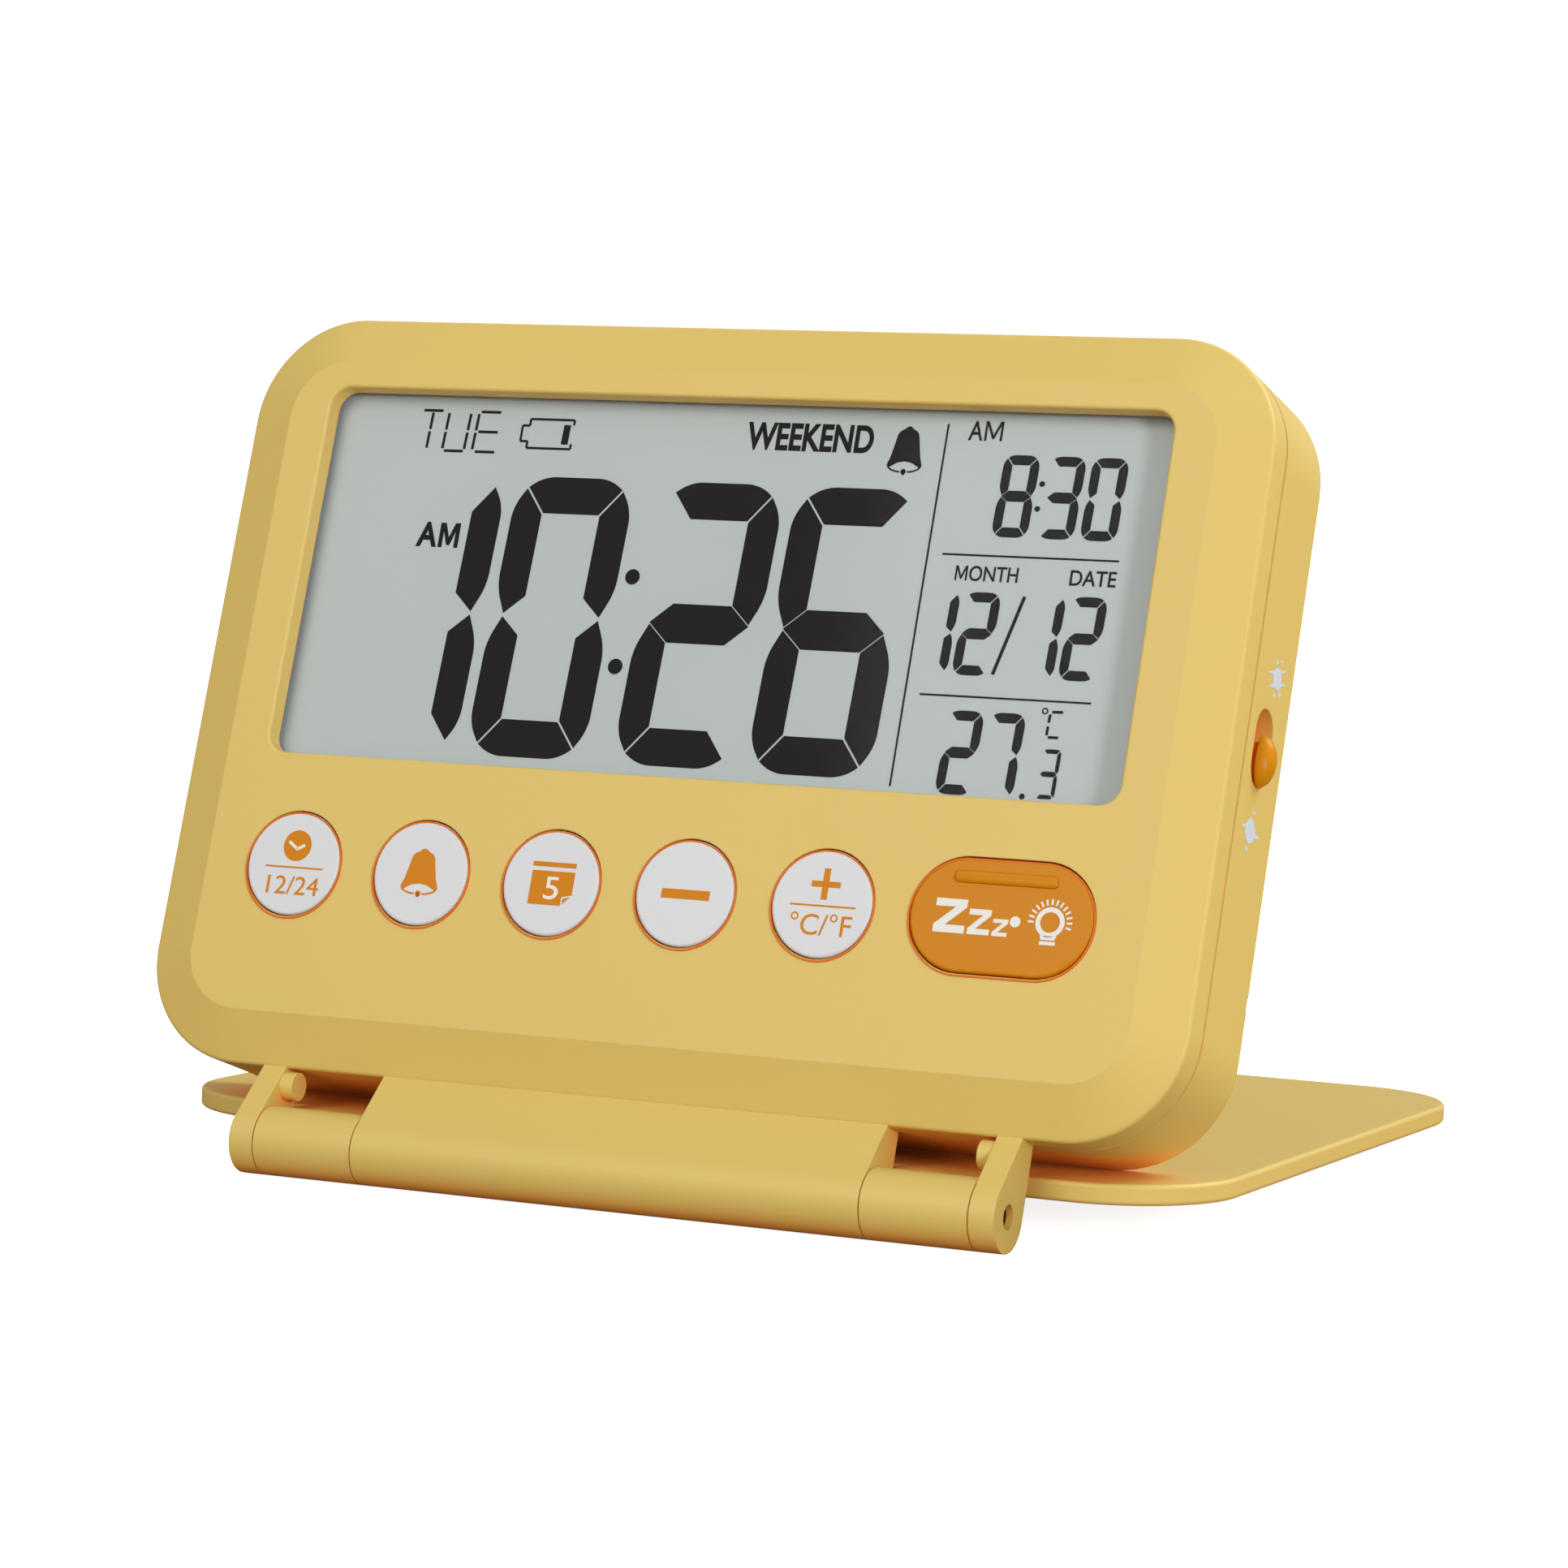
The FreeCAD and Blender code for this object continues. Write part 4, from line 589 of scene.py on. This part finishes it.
class CLOCK_OT_switch(bpy.types.Operator):
    """Finish the slide switch and print the marks beside it"""

    bl_idname = "clock.switch"
    bl_label = "Slide switch"

    def execute(self, context):
        # With painted shade and a painted glow in the knob's slot
        finish_nodes(polished_abs("polished_amber_abs", "amber", "amber_shade_glow"), "slide_switch_knob")
        # Pressed tinplate: grey, with a cloudy mirror
        finish_nodes(metal("tinned_steel", "#A9A7A2", roughness=0.35, grain=0.2, depth=0.002),
                     "slide_switch_housing")
        ink = screen_ink("pale_blue_ink", "side_ink")
        side = face_place(sized("case_half_width")) @ Matrix.Rotation(math.radians(90), 4, "Y")
        for name, draw, middle in (("alarm_on_mark", on_mark, (9.72, 7.24, 0)),
                                   ("alarm_off_mark", off_mark, (8.4, -5.74, 0))):
            print_piece(name, draw, side @ Matrix.Translation(middle), "clock", ink)
        return {"FINISHED"}


def on_mark(mesh):
    """A rounded sign with rays all round: the alarm is on."""
    polygon(mesh, [(-0.33, 0.89), (0.38, 0.92), (0.68, 0.83), (1.68, 1.18), (1.73, 1.06), (0.67, 0.66),
                   (0.99, -0.07), (2.07, 0.06), (2.11, -0.05), (1.0, -0.37), (0.44, -0.9), (-0.46, -0.86),
                   (-1.52, -1.07), (-1.66, -0.97), (-0.89, -0.59), (-1.24, 0.1), (-2.17, -0.06),
                   (-2.16, 0.06), (-0.93, 0.46), (-0.76, 0.64)])
    for start, end in (((-0.58, 1.41), (-0.54, 1.08)), ((0.32, 1.65), (0.4, 1.47)),
                       ((-0.38, -1.32), (-0.37, -1.63)), ((0.75, -0.98), (1.11, -1.19))):
        bar(mesh, start, end, width=0.42)


def off_mark(mesh):
    """A rounded sign with fewer rays: the alarm is off."""
    polygon(mesh, [(-0.27, 1.05), (0.5, 0.92), (0.97, 0.58), (1.24, 0.06), (2.24, 0.02), (2.17, -0.15),
                   (1.04, -0.41), (0.73, -0.78), (0.19, -1.03), (-0.35, -0.96), (-0.86, -0.78),
                   (-1.21, -0.17), (-1.2, 0.04), (-2.07, -0.07), (-2.07, 0.07), (-1.05, 0.36), (-0.82, 0.7)])
    for start, end in (((0.34, 1.69), (0.4, 1.41)), ((-0.29, -1.38), (-0.36, -1.7))):
        bar(mesh, start, end, width=0.5)


class CLOCK_OT_display(bpy.types.Operator):
    """Finish the lens and the panel, and draw the segments, words and signs that show the time"""

    bl_idname = "clock.display"
    bl_label = "Display"

    def execute(self, context):
        finish_nodes(clear_acrylic("polished_clear_acrylic"), "display_lens")
        finish_nodes(liquid_crystal("matt_polariser"), "lcd_panel")
        dark = dark_crystal("dark_liquid_crystal")
        glass = face_place(z=-sized("glass_depth"))
        for name, draw in (("time_digits", time_digits), ("alarm_digits", alarm_digits),
                           ("date_digits", date_digits), ("warmth_digits", warmth_digits),
                           ("display_words", display_words), ("day_letters", day_letters),
                           ("display_signs", display_signs), ("display_rules", display_rules)):
            print_piece(name, draw, glass, "clock", dark)
        return {"FINISHED"}


def time_digits(mesh):
    """26 past 10, with its colon."""
    sized_digits(mesh, "time", "1026", (-33.6, -21.23, -7.16, 5.27), 7.45)
    for centre in ((-8.34, 11.31), (-8.53, 3.44)):
        disc(mesh, centre, radius=0.68)


def alarm_digits(mesh):
    """The alarm at half past 8, with its colon."""
    sized_digits(mesh, "small", "830", (23.78, 27.85, 31.59), 19.64)
    for centre in ((27.57, 20.77), (27.47, 18.64)):
        disc(mesh, centre, radius=0.25, sides=SMALL_SIDES)


def date_digits(mesh):
    """The month and the day, with a slash."""
    sized_digits(mesh, "small", "1212", (18.58, 22.19, 27.91, 31.54), 7.85)
    bar(mesh, (25.79, 4.5), (27.57, 11.19), width=0.3)


def warmth_digits(mesh):
    """The temperature, with a smaller last digit under the sign for degrees Celsius."""
    sized_digits(mesh, "small", "27", (22.33, 26.0), -2.17)
    digits(mesh, "3", (31.1,), -3.51, width=1.75, height=4.23, upright=0.42, level=0.45,
           gap=sized("small_gap"))
    disc(mesh, (29.99, -5.47), radius=0.25, sides=SMALL_SIDES)
    bow(mesh, (30.87, 1.7), radius=0.22, width=0.12, steps=SMALL_SIDES)
    for start, end in (((31.5, 1.66), (32.45, 1.66)), ((31.33, 0.75), (31.37, 1.45)),
                       ((31.3, -0.3), (31.32, 0.45)), ((31.45, -0.46), (32.35, -0.46))):
        bar(mesh, start, end, width=0.24)


def em(mesh, left, bottom, width, height, stroke):
    """A letter M whose strokes are a share of its width."""
    half = ((0, 0), (0, 1), (1.3 * stroke, 1), (0.5, 0.1 + 1.6 * stroke))
    inner = ((0.5 - 0.4 * stroke, 0.1), (stroke, 1 - 1.7 * stroke), (stroke, 0))
    mirrored = [[(1 - x, y) for x, y in reversed(side)] for side in (half[:-1], inner)]
    outline = [*half, *mirrored[0], *mirrored[1], *inner]
    polygon(mesh, [(left + width * x, bottom + height * y) for x, y in outline])


# How much the strokes of a word on the display are fattened
BOLD = 0.03
MEDIUM = 0.012


def display_words(mesh):
    """AM twice, WEEKEND, MONTH and DATE."""
    words(mesh, "A", -29.8, -27.75, 13.16, 15.4, BOLD)
    em(mesh, -27.6, 13.16, width=1.94, height=2.2, stroke=0.2)
    words(mesh, "A", 20.35, 21.65, 24.3, 26.0, MEDIUM)
    em(mesh, 21.8, 24.3, width=1.6, height=1.7, stroke=0.13)
    words(mesh, "WEEKEND", 0.15, 11.88, 22.86, 25.31, BOLD)
    em(mesh, 21.12, 12.3, width=1.08, height=1.28, stroke=0.15)
    words(mesh, "ONTH", 22.36, 26.7, 12.28, 13.6, MEDIUM)
    words(mesh, "DATE", 31.26, 35.3, 12.28, 13.6, MEDIUM)


def day_letters(mesh):
    """TUE in thin segments, with two to each upright."""
    width, gap = 0.25, 0.2
    top, middle, bottom = 25.45, 23.65, 21.85

    def upright(upper, upper_end, lower, lower_end):
        bar(mesh, (upper, top - gap), (upper_end, middle + gap / 2), width)
        bar(mesh, (lower, middle - gap / 2), (lower_end, bottom + gap), width)

    bar(mesh, (-31.3, top), (-29.4, top), width)
    upright(-30.35, -30.38, -30.4, -30.43)
    for x in (-28.75, -26.6, -25.8):
        upright(x, x - 0.05, x - 0.06, x - 0.11)
    bar(mesh, (-28.65, bottom), (-26.8, bottom), width)
    for level in (top, middle, bottom):
        bar(mesh, (-25.6, level), (-23.7, level), width)


def display_signs(mesh):
    """The bell of the set alarm, and a battery with one block of charge."""
    bell(mesh, (15.0, 23.24), width=3.17, height=4.27)
    left, right, bottom, top = -20.65, -16.4, 22.35, 24.95
    knob, knob_bottom, knob_top = -21.35, 22.95, 24.35
    for start, end in (((left, top), (right, top)), ((left, bottom), (right, bottom)),
                       ((left, top), (left, knob_top)), ((left, knob_top), (knob, knob_top)),
                       ((knob, knob_top), (knob, knob_bottom)), ((knob, knob_bottom), (left, knob_bottom)),
                       ((left, knob_bottom), (left, bottom)), ((right, top), (right, 24.5)),
                       ((right, 22.8), (right, bottom))):
        bar(mesh, start, end, width=0.21)
    bar(mesh, (-17.05, 22.75), (-17.0, 24.5), width=0.65)


def display_rules(mesh):
    """The thin lines that part the display."""
    width = sized("rule_width")
    bar(mesh, (18.3, -5.34), (18.44, 25.67), width)
    bar(mesh, (19.69, 14.49), (35.3, 14.49), width)
    bar(mesh, (19.64, 2.54), (34.72, 2.54), width)


class CLOCK_OT_buttons(bpy.types.Operator):
    """Finish the button caps and print their legends"""

    bl_idname = "clock.buttons"
    bl_label = "Buttons"

    def execute(self, context):
        finish_nodes(polished_abs("polished_white_abs", "white"), *[name + "_button" for name in CAPS[:-1]])
        # With painted shade and a painted glow in the snooze cap's corners
        snooze_abs = polished_abs("polished_orange_abs", "orange", "orange_shade_glow")
        finish_nodes(snooze_abs, "snooze_button")
        snooze = cap_place("snooze")
        add_piece("snooze_ridge", finger_ridge, snooze, "snooze_push", snooze_abs)
        orange = screen_ink("orange_ink", "orange_ink")
        white = screen_ink("white_ink", "white_ink")
        shift = Matrix.Translation((sized("legend_shift"), sized("legend_rise"), 0))
        for name, draw in (("clock", clock_legend), ("alarm", alarm_legend), ("calendar", calendar_legend),
                           ("minus", minus_legend), ("plus", plus_legend)):
            print_piece(name + "_legend", draw, cap_place(name) @ shift, name + "_push",
                        orange)
        # White over orange is twice as thick, so that it shows on top
        for name, draw in (("clock", clock_hands), ("calendar", calendar_number)):
            print_piece(name + "_overprint", draw, cap_place(name) @ shift, name + "_push",
                        white, layers=2)
        print_piece("snooze_legend", snooze_legend, snooze @ Matrix.Translation(SNOOZE_SHIFT), "snooze_push",
                    white)
        # Orange rings in the gaps round the caps: painted glow and shade
        print_piece("button_seals", button_seals, face_place(z=-sized("glow_ring_depth")), "clock",
                    painted_glow_rubber("orange_silicone_seal"), layers=GLOW_RING_LAYERS)
        return {"FINISHED"}


def finger_ridge(mesh):
    """The rounded bar that a finger finds in the dark."""
    radius = sized("ridge_radius")
    reach = sized("ridge_length") / 2 - radius
    bmesh.ops.create_uvsphere(mesh, u_segments=24, v_segments=12, radius=radius,
                              matrix=Matrix.Rotation(math.radians(90), 4, "Y"))
    for axis in ((1, 0, 0), (0, 0, 1)):
        bmesh.ops.bisect_plane(mesh, geom=mesh.verts[:] + mesh.edges[:] + mesh.faces[:], dist=HAIR,
                               plane_co=(0, 0, 0), plane_no=axis, clear_inner=True)
    bmesh.ops.translate(mesh, verts=mesh.verts[:], vec=(reach, 0, 0))
    open_end = [edge for edge in mesh.edges if all(vertex.co.x < reach + HAIR for vertex in edge.verts)]
    drawn = bmesh.ops.extrude_edge_only(mesh, edges=open_end)["geom"]
    bmesh.ops.translate(mesh, verts=[item for item in drawn if isinstance(item, bmesh.types.BMVert)],
                        vec=(-reach, 0, 0))
    bmesh.ops.mirror(mesh, geom=mesh.verts[:] + mesh.edges[:] + mesh.faces[:], axis="X", merge_dist=SAME)
    bmesh.ops.contextual_create(mesh, geom=[edge for edge in mesh.edges if edge.is_boundary])
    bmesh.ops.recalc_face_normals(mesh, faces=mesh.faces[:])
    for face in mesh.faces:
        face.smooth = len(face.verts) <= 4
    flatten = Matrix.Diagonal((1, 1, sized("ridge_height") / radius, 1))
    mesh.transform(Matrix.Translation((0, sized("ridge_rise"), 0)) @ flatten)


def button_seals(mesh):
    """Thin orange rings that close the gap round each cap: painted glow and shade."""
    width = sized("glow_ring_width")
    middles = [face_place().inverted() @ cap_place(name).translation for name in CAPS]
    for middle in middles[:-1]:
        bow(mesh, middle.to_2d(), sized("glow_ring_radius"), width, steps=96)
    middle, reach, half = middles[-1], sized("snooze_reach"), sized("snooze_half_height")
    for side in (-1, 1):
        bow(mesh, (middle.x + side * reach, middle.y), half, width, -90 * side, -90 * side + 180, steps=60)
        level = middle.y + side * half
        bar(mesh, (middle.x - reach, level), (middle.x + reach, level), width)


def clock_legend(mesh):
    """A clock's dial over the words for its two ways of counting hours."""
    disc(mesh, (0.02, 1.52), radius=1.35)
    bar(mesh, (-2.76, -0.38), (2.86, -0.38), sized("legend_line"))
    words(mesh, "12/24", -2.3, 2.75, -2.75, -1.15)


def clock_hands(mesh):
    """The hands on the dial."""
    bar(mesh, (-0.83, 1.84), (0.1, 1.2), width=0.26)
    bar(mesh, (0.0, 1.2), (0.76, 1.6), width=0.26)


def alarm_legend(mesh):
    """A bell."""
    bell(mesh, (0.0, 0.0), width=3.55, height=4.2)


def calendar_legend(mesh):
    """A page under its header, with one corner turned up."""
    bar(mesh, (-2.0, 1.54), (2.05, 1.54), width=0.4)
    left, right, top, bottom, fold = -1.95, 2.05, 0.98, -1.9, 0.95
    polygon(mesh, [(left, bottom), (right - fold, bottom), (right - fold, bottom + 0.75),
                   (right, bottom + fold), (right, top), (left, top)])
    polygon(mesh, [(right - fold + 0.15, bottom + 0.12), (right - 0.15, bottom + fold - 0.15),
                   (right - fold + 0.15, bottom + 0.6)])


def calendar_number(mesh):
    """The day on the page."""
    words(mesh, "5", -0.6, 0.72, -1.43, 0.5, weight=0.004)


def minus_legend(mesh):
    """A minus."""
    bar(mesh, (-2.18, -0.12), (2.22, -0.12), width=0.8)


def plus_legend(mesh):
    """A plus over the two units of temperature."""
    bar(mesh, (-1.25, 1.6), (-0.25, 1.6), width=0.5)
    bar(mesh, (0.25, 1.6), (1.32, 1.6), width=0.5)
    bar(mesh, (0.0, 0.32), (0.0, 2.92), width=0.55)
    bar(mesh, (-2.9, -0.2), (2.95, -0.2), sized("legend_line"))
    words(mesh, "°C/°F", -2.65, 2.8, -2.65, -0.82)


def zed(mesh, left, bottom, width, height):
    """A heavy letter Z."""
    level, slope = 0.23, 0.36
    outline = ((0, 1), (1, 1), (1, 1 - level), (slope, level), (1, level), (1, 0), (0, 0), (0, level),
               (1 - slope, 1 - level), (0, 1 - level))
    polygon(mesh, [(left + width * x, bottom + height * y) for x, y in outline])


def snooze_legend(mesh):
    """Three letters that shrink, a dot and a lamp that shines."""
    for left, width, height in ((-5.78, 2.72, 2.78), (-2.8, 1.9, 2.08), (-0.66, 1.3, 1.4)):
        zed(mesh, left, -1.5, width, height)
    disc(mesh, (1.21, -0.22), radius=0.45)
    centre = (4.18, -0.06)
    bow(mesh, centre, radius=1.04, width=0.4)
    polygon(mesh, [(3.45, -1.15), (4.9, -1.15), (4.75, -1.5), (3.6, -1.5)])
    bar(mesh, (3.5, -1.76), (4.86, -1.76), width=0.3)
    rays, first_ray, between_rays = 14, -14, 15
    for number in range(rays):
        angle = math.radians(first_ray + between_rays * number)
        ray = Vector((math.cos(angle), math.sin(angle)))
        bar(mesh, Vector(centre) + ray * 1.42, Vector(centre) + ray * 1.9, width=0.17)


class CLOCK_OT_inside(bpy.types.Operator):
    """Finish the pieces inside the case"""

    bl_idname = "clock.inside"
    bl_label = "Inside"

    def execute(self, context):
        presses = [cap + part for cap in CAPS for part in ("_plunger", "_switch")]
        # Nylon moulded in a plain tool: dull black with a coarse grain
        nylon = surface("moulded_black_nylon", linear("#1E1E1F"), roughness=0.5, grain=0.25, depth=0.004)
        finish_nodes(nylon, "slide_switch_actuator", *presses)
        # ABS moulded in a plain tool: milky white and dull
        finish_nodes(surface("moulded_white_abs", linear("#D9D9D6"), roughness=0.5, grain=0.3, depth=0.004),
                     "display_holder")
        # Die-cut foam: soft black with open pores
        finish_nodes(surface("black_foam_tape", linear("#161616"), roughness=0.85, grain=0.08, depth=0.01),
                     "lens_tape")
        # Acrylic etched to spread light: pale and half clear
        finish_nodes(surface("frosted_acrylic", linear("#DCE2E4"), roughness=0.25, grain=0.3, depth=0.004,
                             extra={"Transmission Weight": 0.5}), "light_guide")
        # Filled polyester film: bright white with a sheen
        finish_nodes(surface("white_reflector_film", linear("#ECECEA"), roughness=0.4, grain=0.2,
                             depth=0.001), "reflector_sheet")
        # Cast epoxy over phosphor: glossy cream
        finish_nodes(surface("moulded_lamp_body", linear("#E9E3C4"), roughness=0.2, grain=0.2, depth=0.001),
                     "backlight_led")
        finish_nodes(zebra_rubber("striped_silicone_rubber"), "zebra_strip")
        finish_nodes(green_laminate("green_board_laminate"), "circuit_board")
        # Epoxy dripped on and cured: black, wavy and glossy
        finish_nodes(surface("cured_black_epoxy", linear("#101011"), roughness=0.2, grain=1.2, depth=0.02),
                     "chip_blob", "thermistor")
        # Deep-drawn steel plated with nickel: bright warm grey
        finish_nodes(metal("drawn_nickel_can", "#C6C4BE", roughness=0.25, grain=0.15),
                     "crystal_can", "coin_cell")
        # Stamped spring steel: grey with a rolled skin
        finish_nodes(metal("spring_steel_leaf", "#BDBAB3", roughness=0.3, grain=0.1),
                     "negative_contact", "positive_contact", "buzzer_spring_centre", "buzzer_spring_rim")
        # Rolled brass sheet: yellow, and half a mirror
        finish_nodes(metal("rolled_brass", "#D3B069", roughness=0.28, grain=0.2), "buzzer_disc")
        # Fired ceramic under silver paste: pale, with an even sheen
        finish_nodes(surface("silvered_ceramic", linear("#D8D6CE"), roughness=0.35, grain=0.1, depth=0.001),
                     "buzzer_ceramic")
        return {"FINISHED"}


# The lights' places and widths are in metres, and their powers in watts
LIGHTS = (("key_light", (0.8, -0.56, 0.25), 0.2, 4.0),
          ("front_light", (-0.15, -0.8, 0.55), 0.5, 3.1),
          ("back_light", (0.6, 0.62, 0.8), 0.6, 7.9))
LIT_POINT = (0, 0, 0.03)
# The surroundings are brightest this way. Their colour changes within this reach of the directions across it.
BRIGHT_WAY = (0.75, -0.25, 0.6)
BRIGHT_REACH = 0.6
# How bright the surroundings are to the clock, and the backdrop to the camera
GLOW = 0.52
BACKDROP = 1.05
# In millimetres
SENSOR_WIDTH = 36


def aimed(place, target):
    """Stand something at a place so that it looks at a target."""
    turn = (Vector(target) - Vector(place)).to_track_quat("-Z", "Y").to_matrix().to_4x4()
    return Matrix.Translation(place) @ turn


class CLOCK_OT_stage(bpy.types.Operator):
    """Set up the floor, the soft lights, the surroundings and the camera"""

    bl_idname = "clock.stage"
    bl_label = "Stage"

    def execute(self, context):
        scene = context.scene
        scene.view_settings.view_transform = "Standard"
        sizes = scene.clock_sizes
        sheet = bmesh.new()
        bmesh.ops.create_circle(sheet, cap_ends=True, segments=64, radius=sizes.floor_size / 2)
        data = bpy.data.meshes.new("floor")
        sheet.to_mesh(data)
        sheet.free()
        data.materials.append(floor_paper("white_studio_paper"))
        floor = bpy.data.objects.new("floor", data)
        scene.collection.objects.link(floor)

        for name, place, width, power in LIGHTS:
            data = bpy.data.lights.new(name, "AREA")
            data.shape = "DISK"
            data.size = width
            data.energy = power
            light = bpy.data.objects.new(name, data)
            light.matrix_world = aimed(place, LIT_POINT)
            scene.collection.objects.link(light)

        world = bpy.data.worlds.new("studio")
        world.use_nodes = True
        tree = world.node_tree
        tree.nodes.clear()
        direction = add_node(tree, "ShaderNodeTexCoord").outputs["Generated"]
        toward = add_node(tree, "ShaderNodeVectorMath", {0: direction, 1: BRIGHT_WAY},
                          operation="DOT_PRODUCT").outputs["Value"]
        share = add_node(tree, "ShaderNodeMapRange", {"Value": toward, "From Min": -BRIGHT_REACH,
                                                      "From Max": BRIGHT_REACH}).outputs[0]
        tone = add_node(tree, "ShaderNodeMix", {0: share, 6: coloured("sky_dim"), 7: coloured("sky_bright")},
                        data_type="RGBA").outputs[2]
        glow = add_node(tree, "ShaderNodeBackground", {"Color": tone, "Strength": GLOW})
        backdrop = add_node(tree, "ShaderNodeBackground", {"Color": (1, 1, 1, 1), "Strength": BACKDROP})
        ray = add_node(tree, "ShaderNodeLightPath").outputs["Is Camera Ray"]
        both = add_node(tree, "ShaderNodeMixShader", {0: ray, 1: glow.outputs[0], 2: backdrop.outputs[0]})
        add_node(tree, "ShaderNodeOutputWorld", {"Surface": both.outputs[0]})
        scene.world = world

        data = bpy.data.cameras.new("camera")
        data.sensor_width = SENSOR_WIDTH
        data.lens = sizes.camera_lens
        data.clip_start = 0.01
        camera = bpy.data.objects.new("camera", data)
        camera.matrix_world = (Matrix.Translation((sizes.camera_aim_across, 0, sizes.camera_aim_up))
                               @ Matrix.Rotation(sizes.camera_turn, 4, "Z")
                               @ Matrix.Rotation(math.radians(90) - sizes.camera_rise, 4, "X")
                               @ Matrix.Rotation(sizes.camera_roll, 4, "Z")
                               @ Matrix.Translation((0, 0, sizes.camera_distance)))
        scene.collection.objects.link(camera)
        scene.camera = camera
        return {"FINISHED"}


class CLOCK_PT_panel(bpy.types.Panel):
    """The clock's making, step by step"""

    bl_idname = "CLOCK_PT_panel"
    bl_label = "Travel alarm clock"
    bl_space_type = "VIEW_3D"
    bl_region_type = "UI"
    bl_category = "Clock"

    def draw(self, context):
        for operator in STEPS:
            self.layout.operator(operator.bl_idname)
        for group in (context.scene.clock_sizes, context.scene.clock_colours):
            box = self.layout.box()
            for name in group.__annotations__:
                box.prop(group, name)


STEPS = (CLOCK_OT_stage, CLOCK_OT_case, CLOCK_OT_switch, CLOCK_OT_display, CLOCK_OT_buttons, CLOCK_OT_inside)
CLASSES = (ClockSizes, ClockColours, *STEPS, CLOCK_PT_panel)


def register():
    """Make the steps and the panel known to Blender."""
    for item in CLASSES:
        bpy.utils.register_class(item)
    bpy.types.Scene.clock_sizes = PointerProperty(type=ClockSizes)
    bpy.types.Scene.clock_colours = PointerProperty(type=ClockColours)


def unregister():
    """Take the steps and the panel out again."""
    del bpy.types.Scene.clock_colours
    del bpy.types.Scene.clock_sizes
    for item in reversed(CLASSES):
        bpy.utils.unregister_class(item)


def main():
    """Run the steps in order."""
    register()
    for operator in STEPS:
        getattr(bpy.ops.clock, operator.bl_idname.split(".")[1])()


if __name__ == "__main__":
    main()
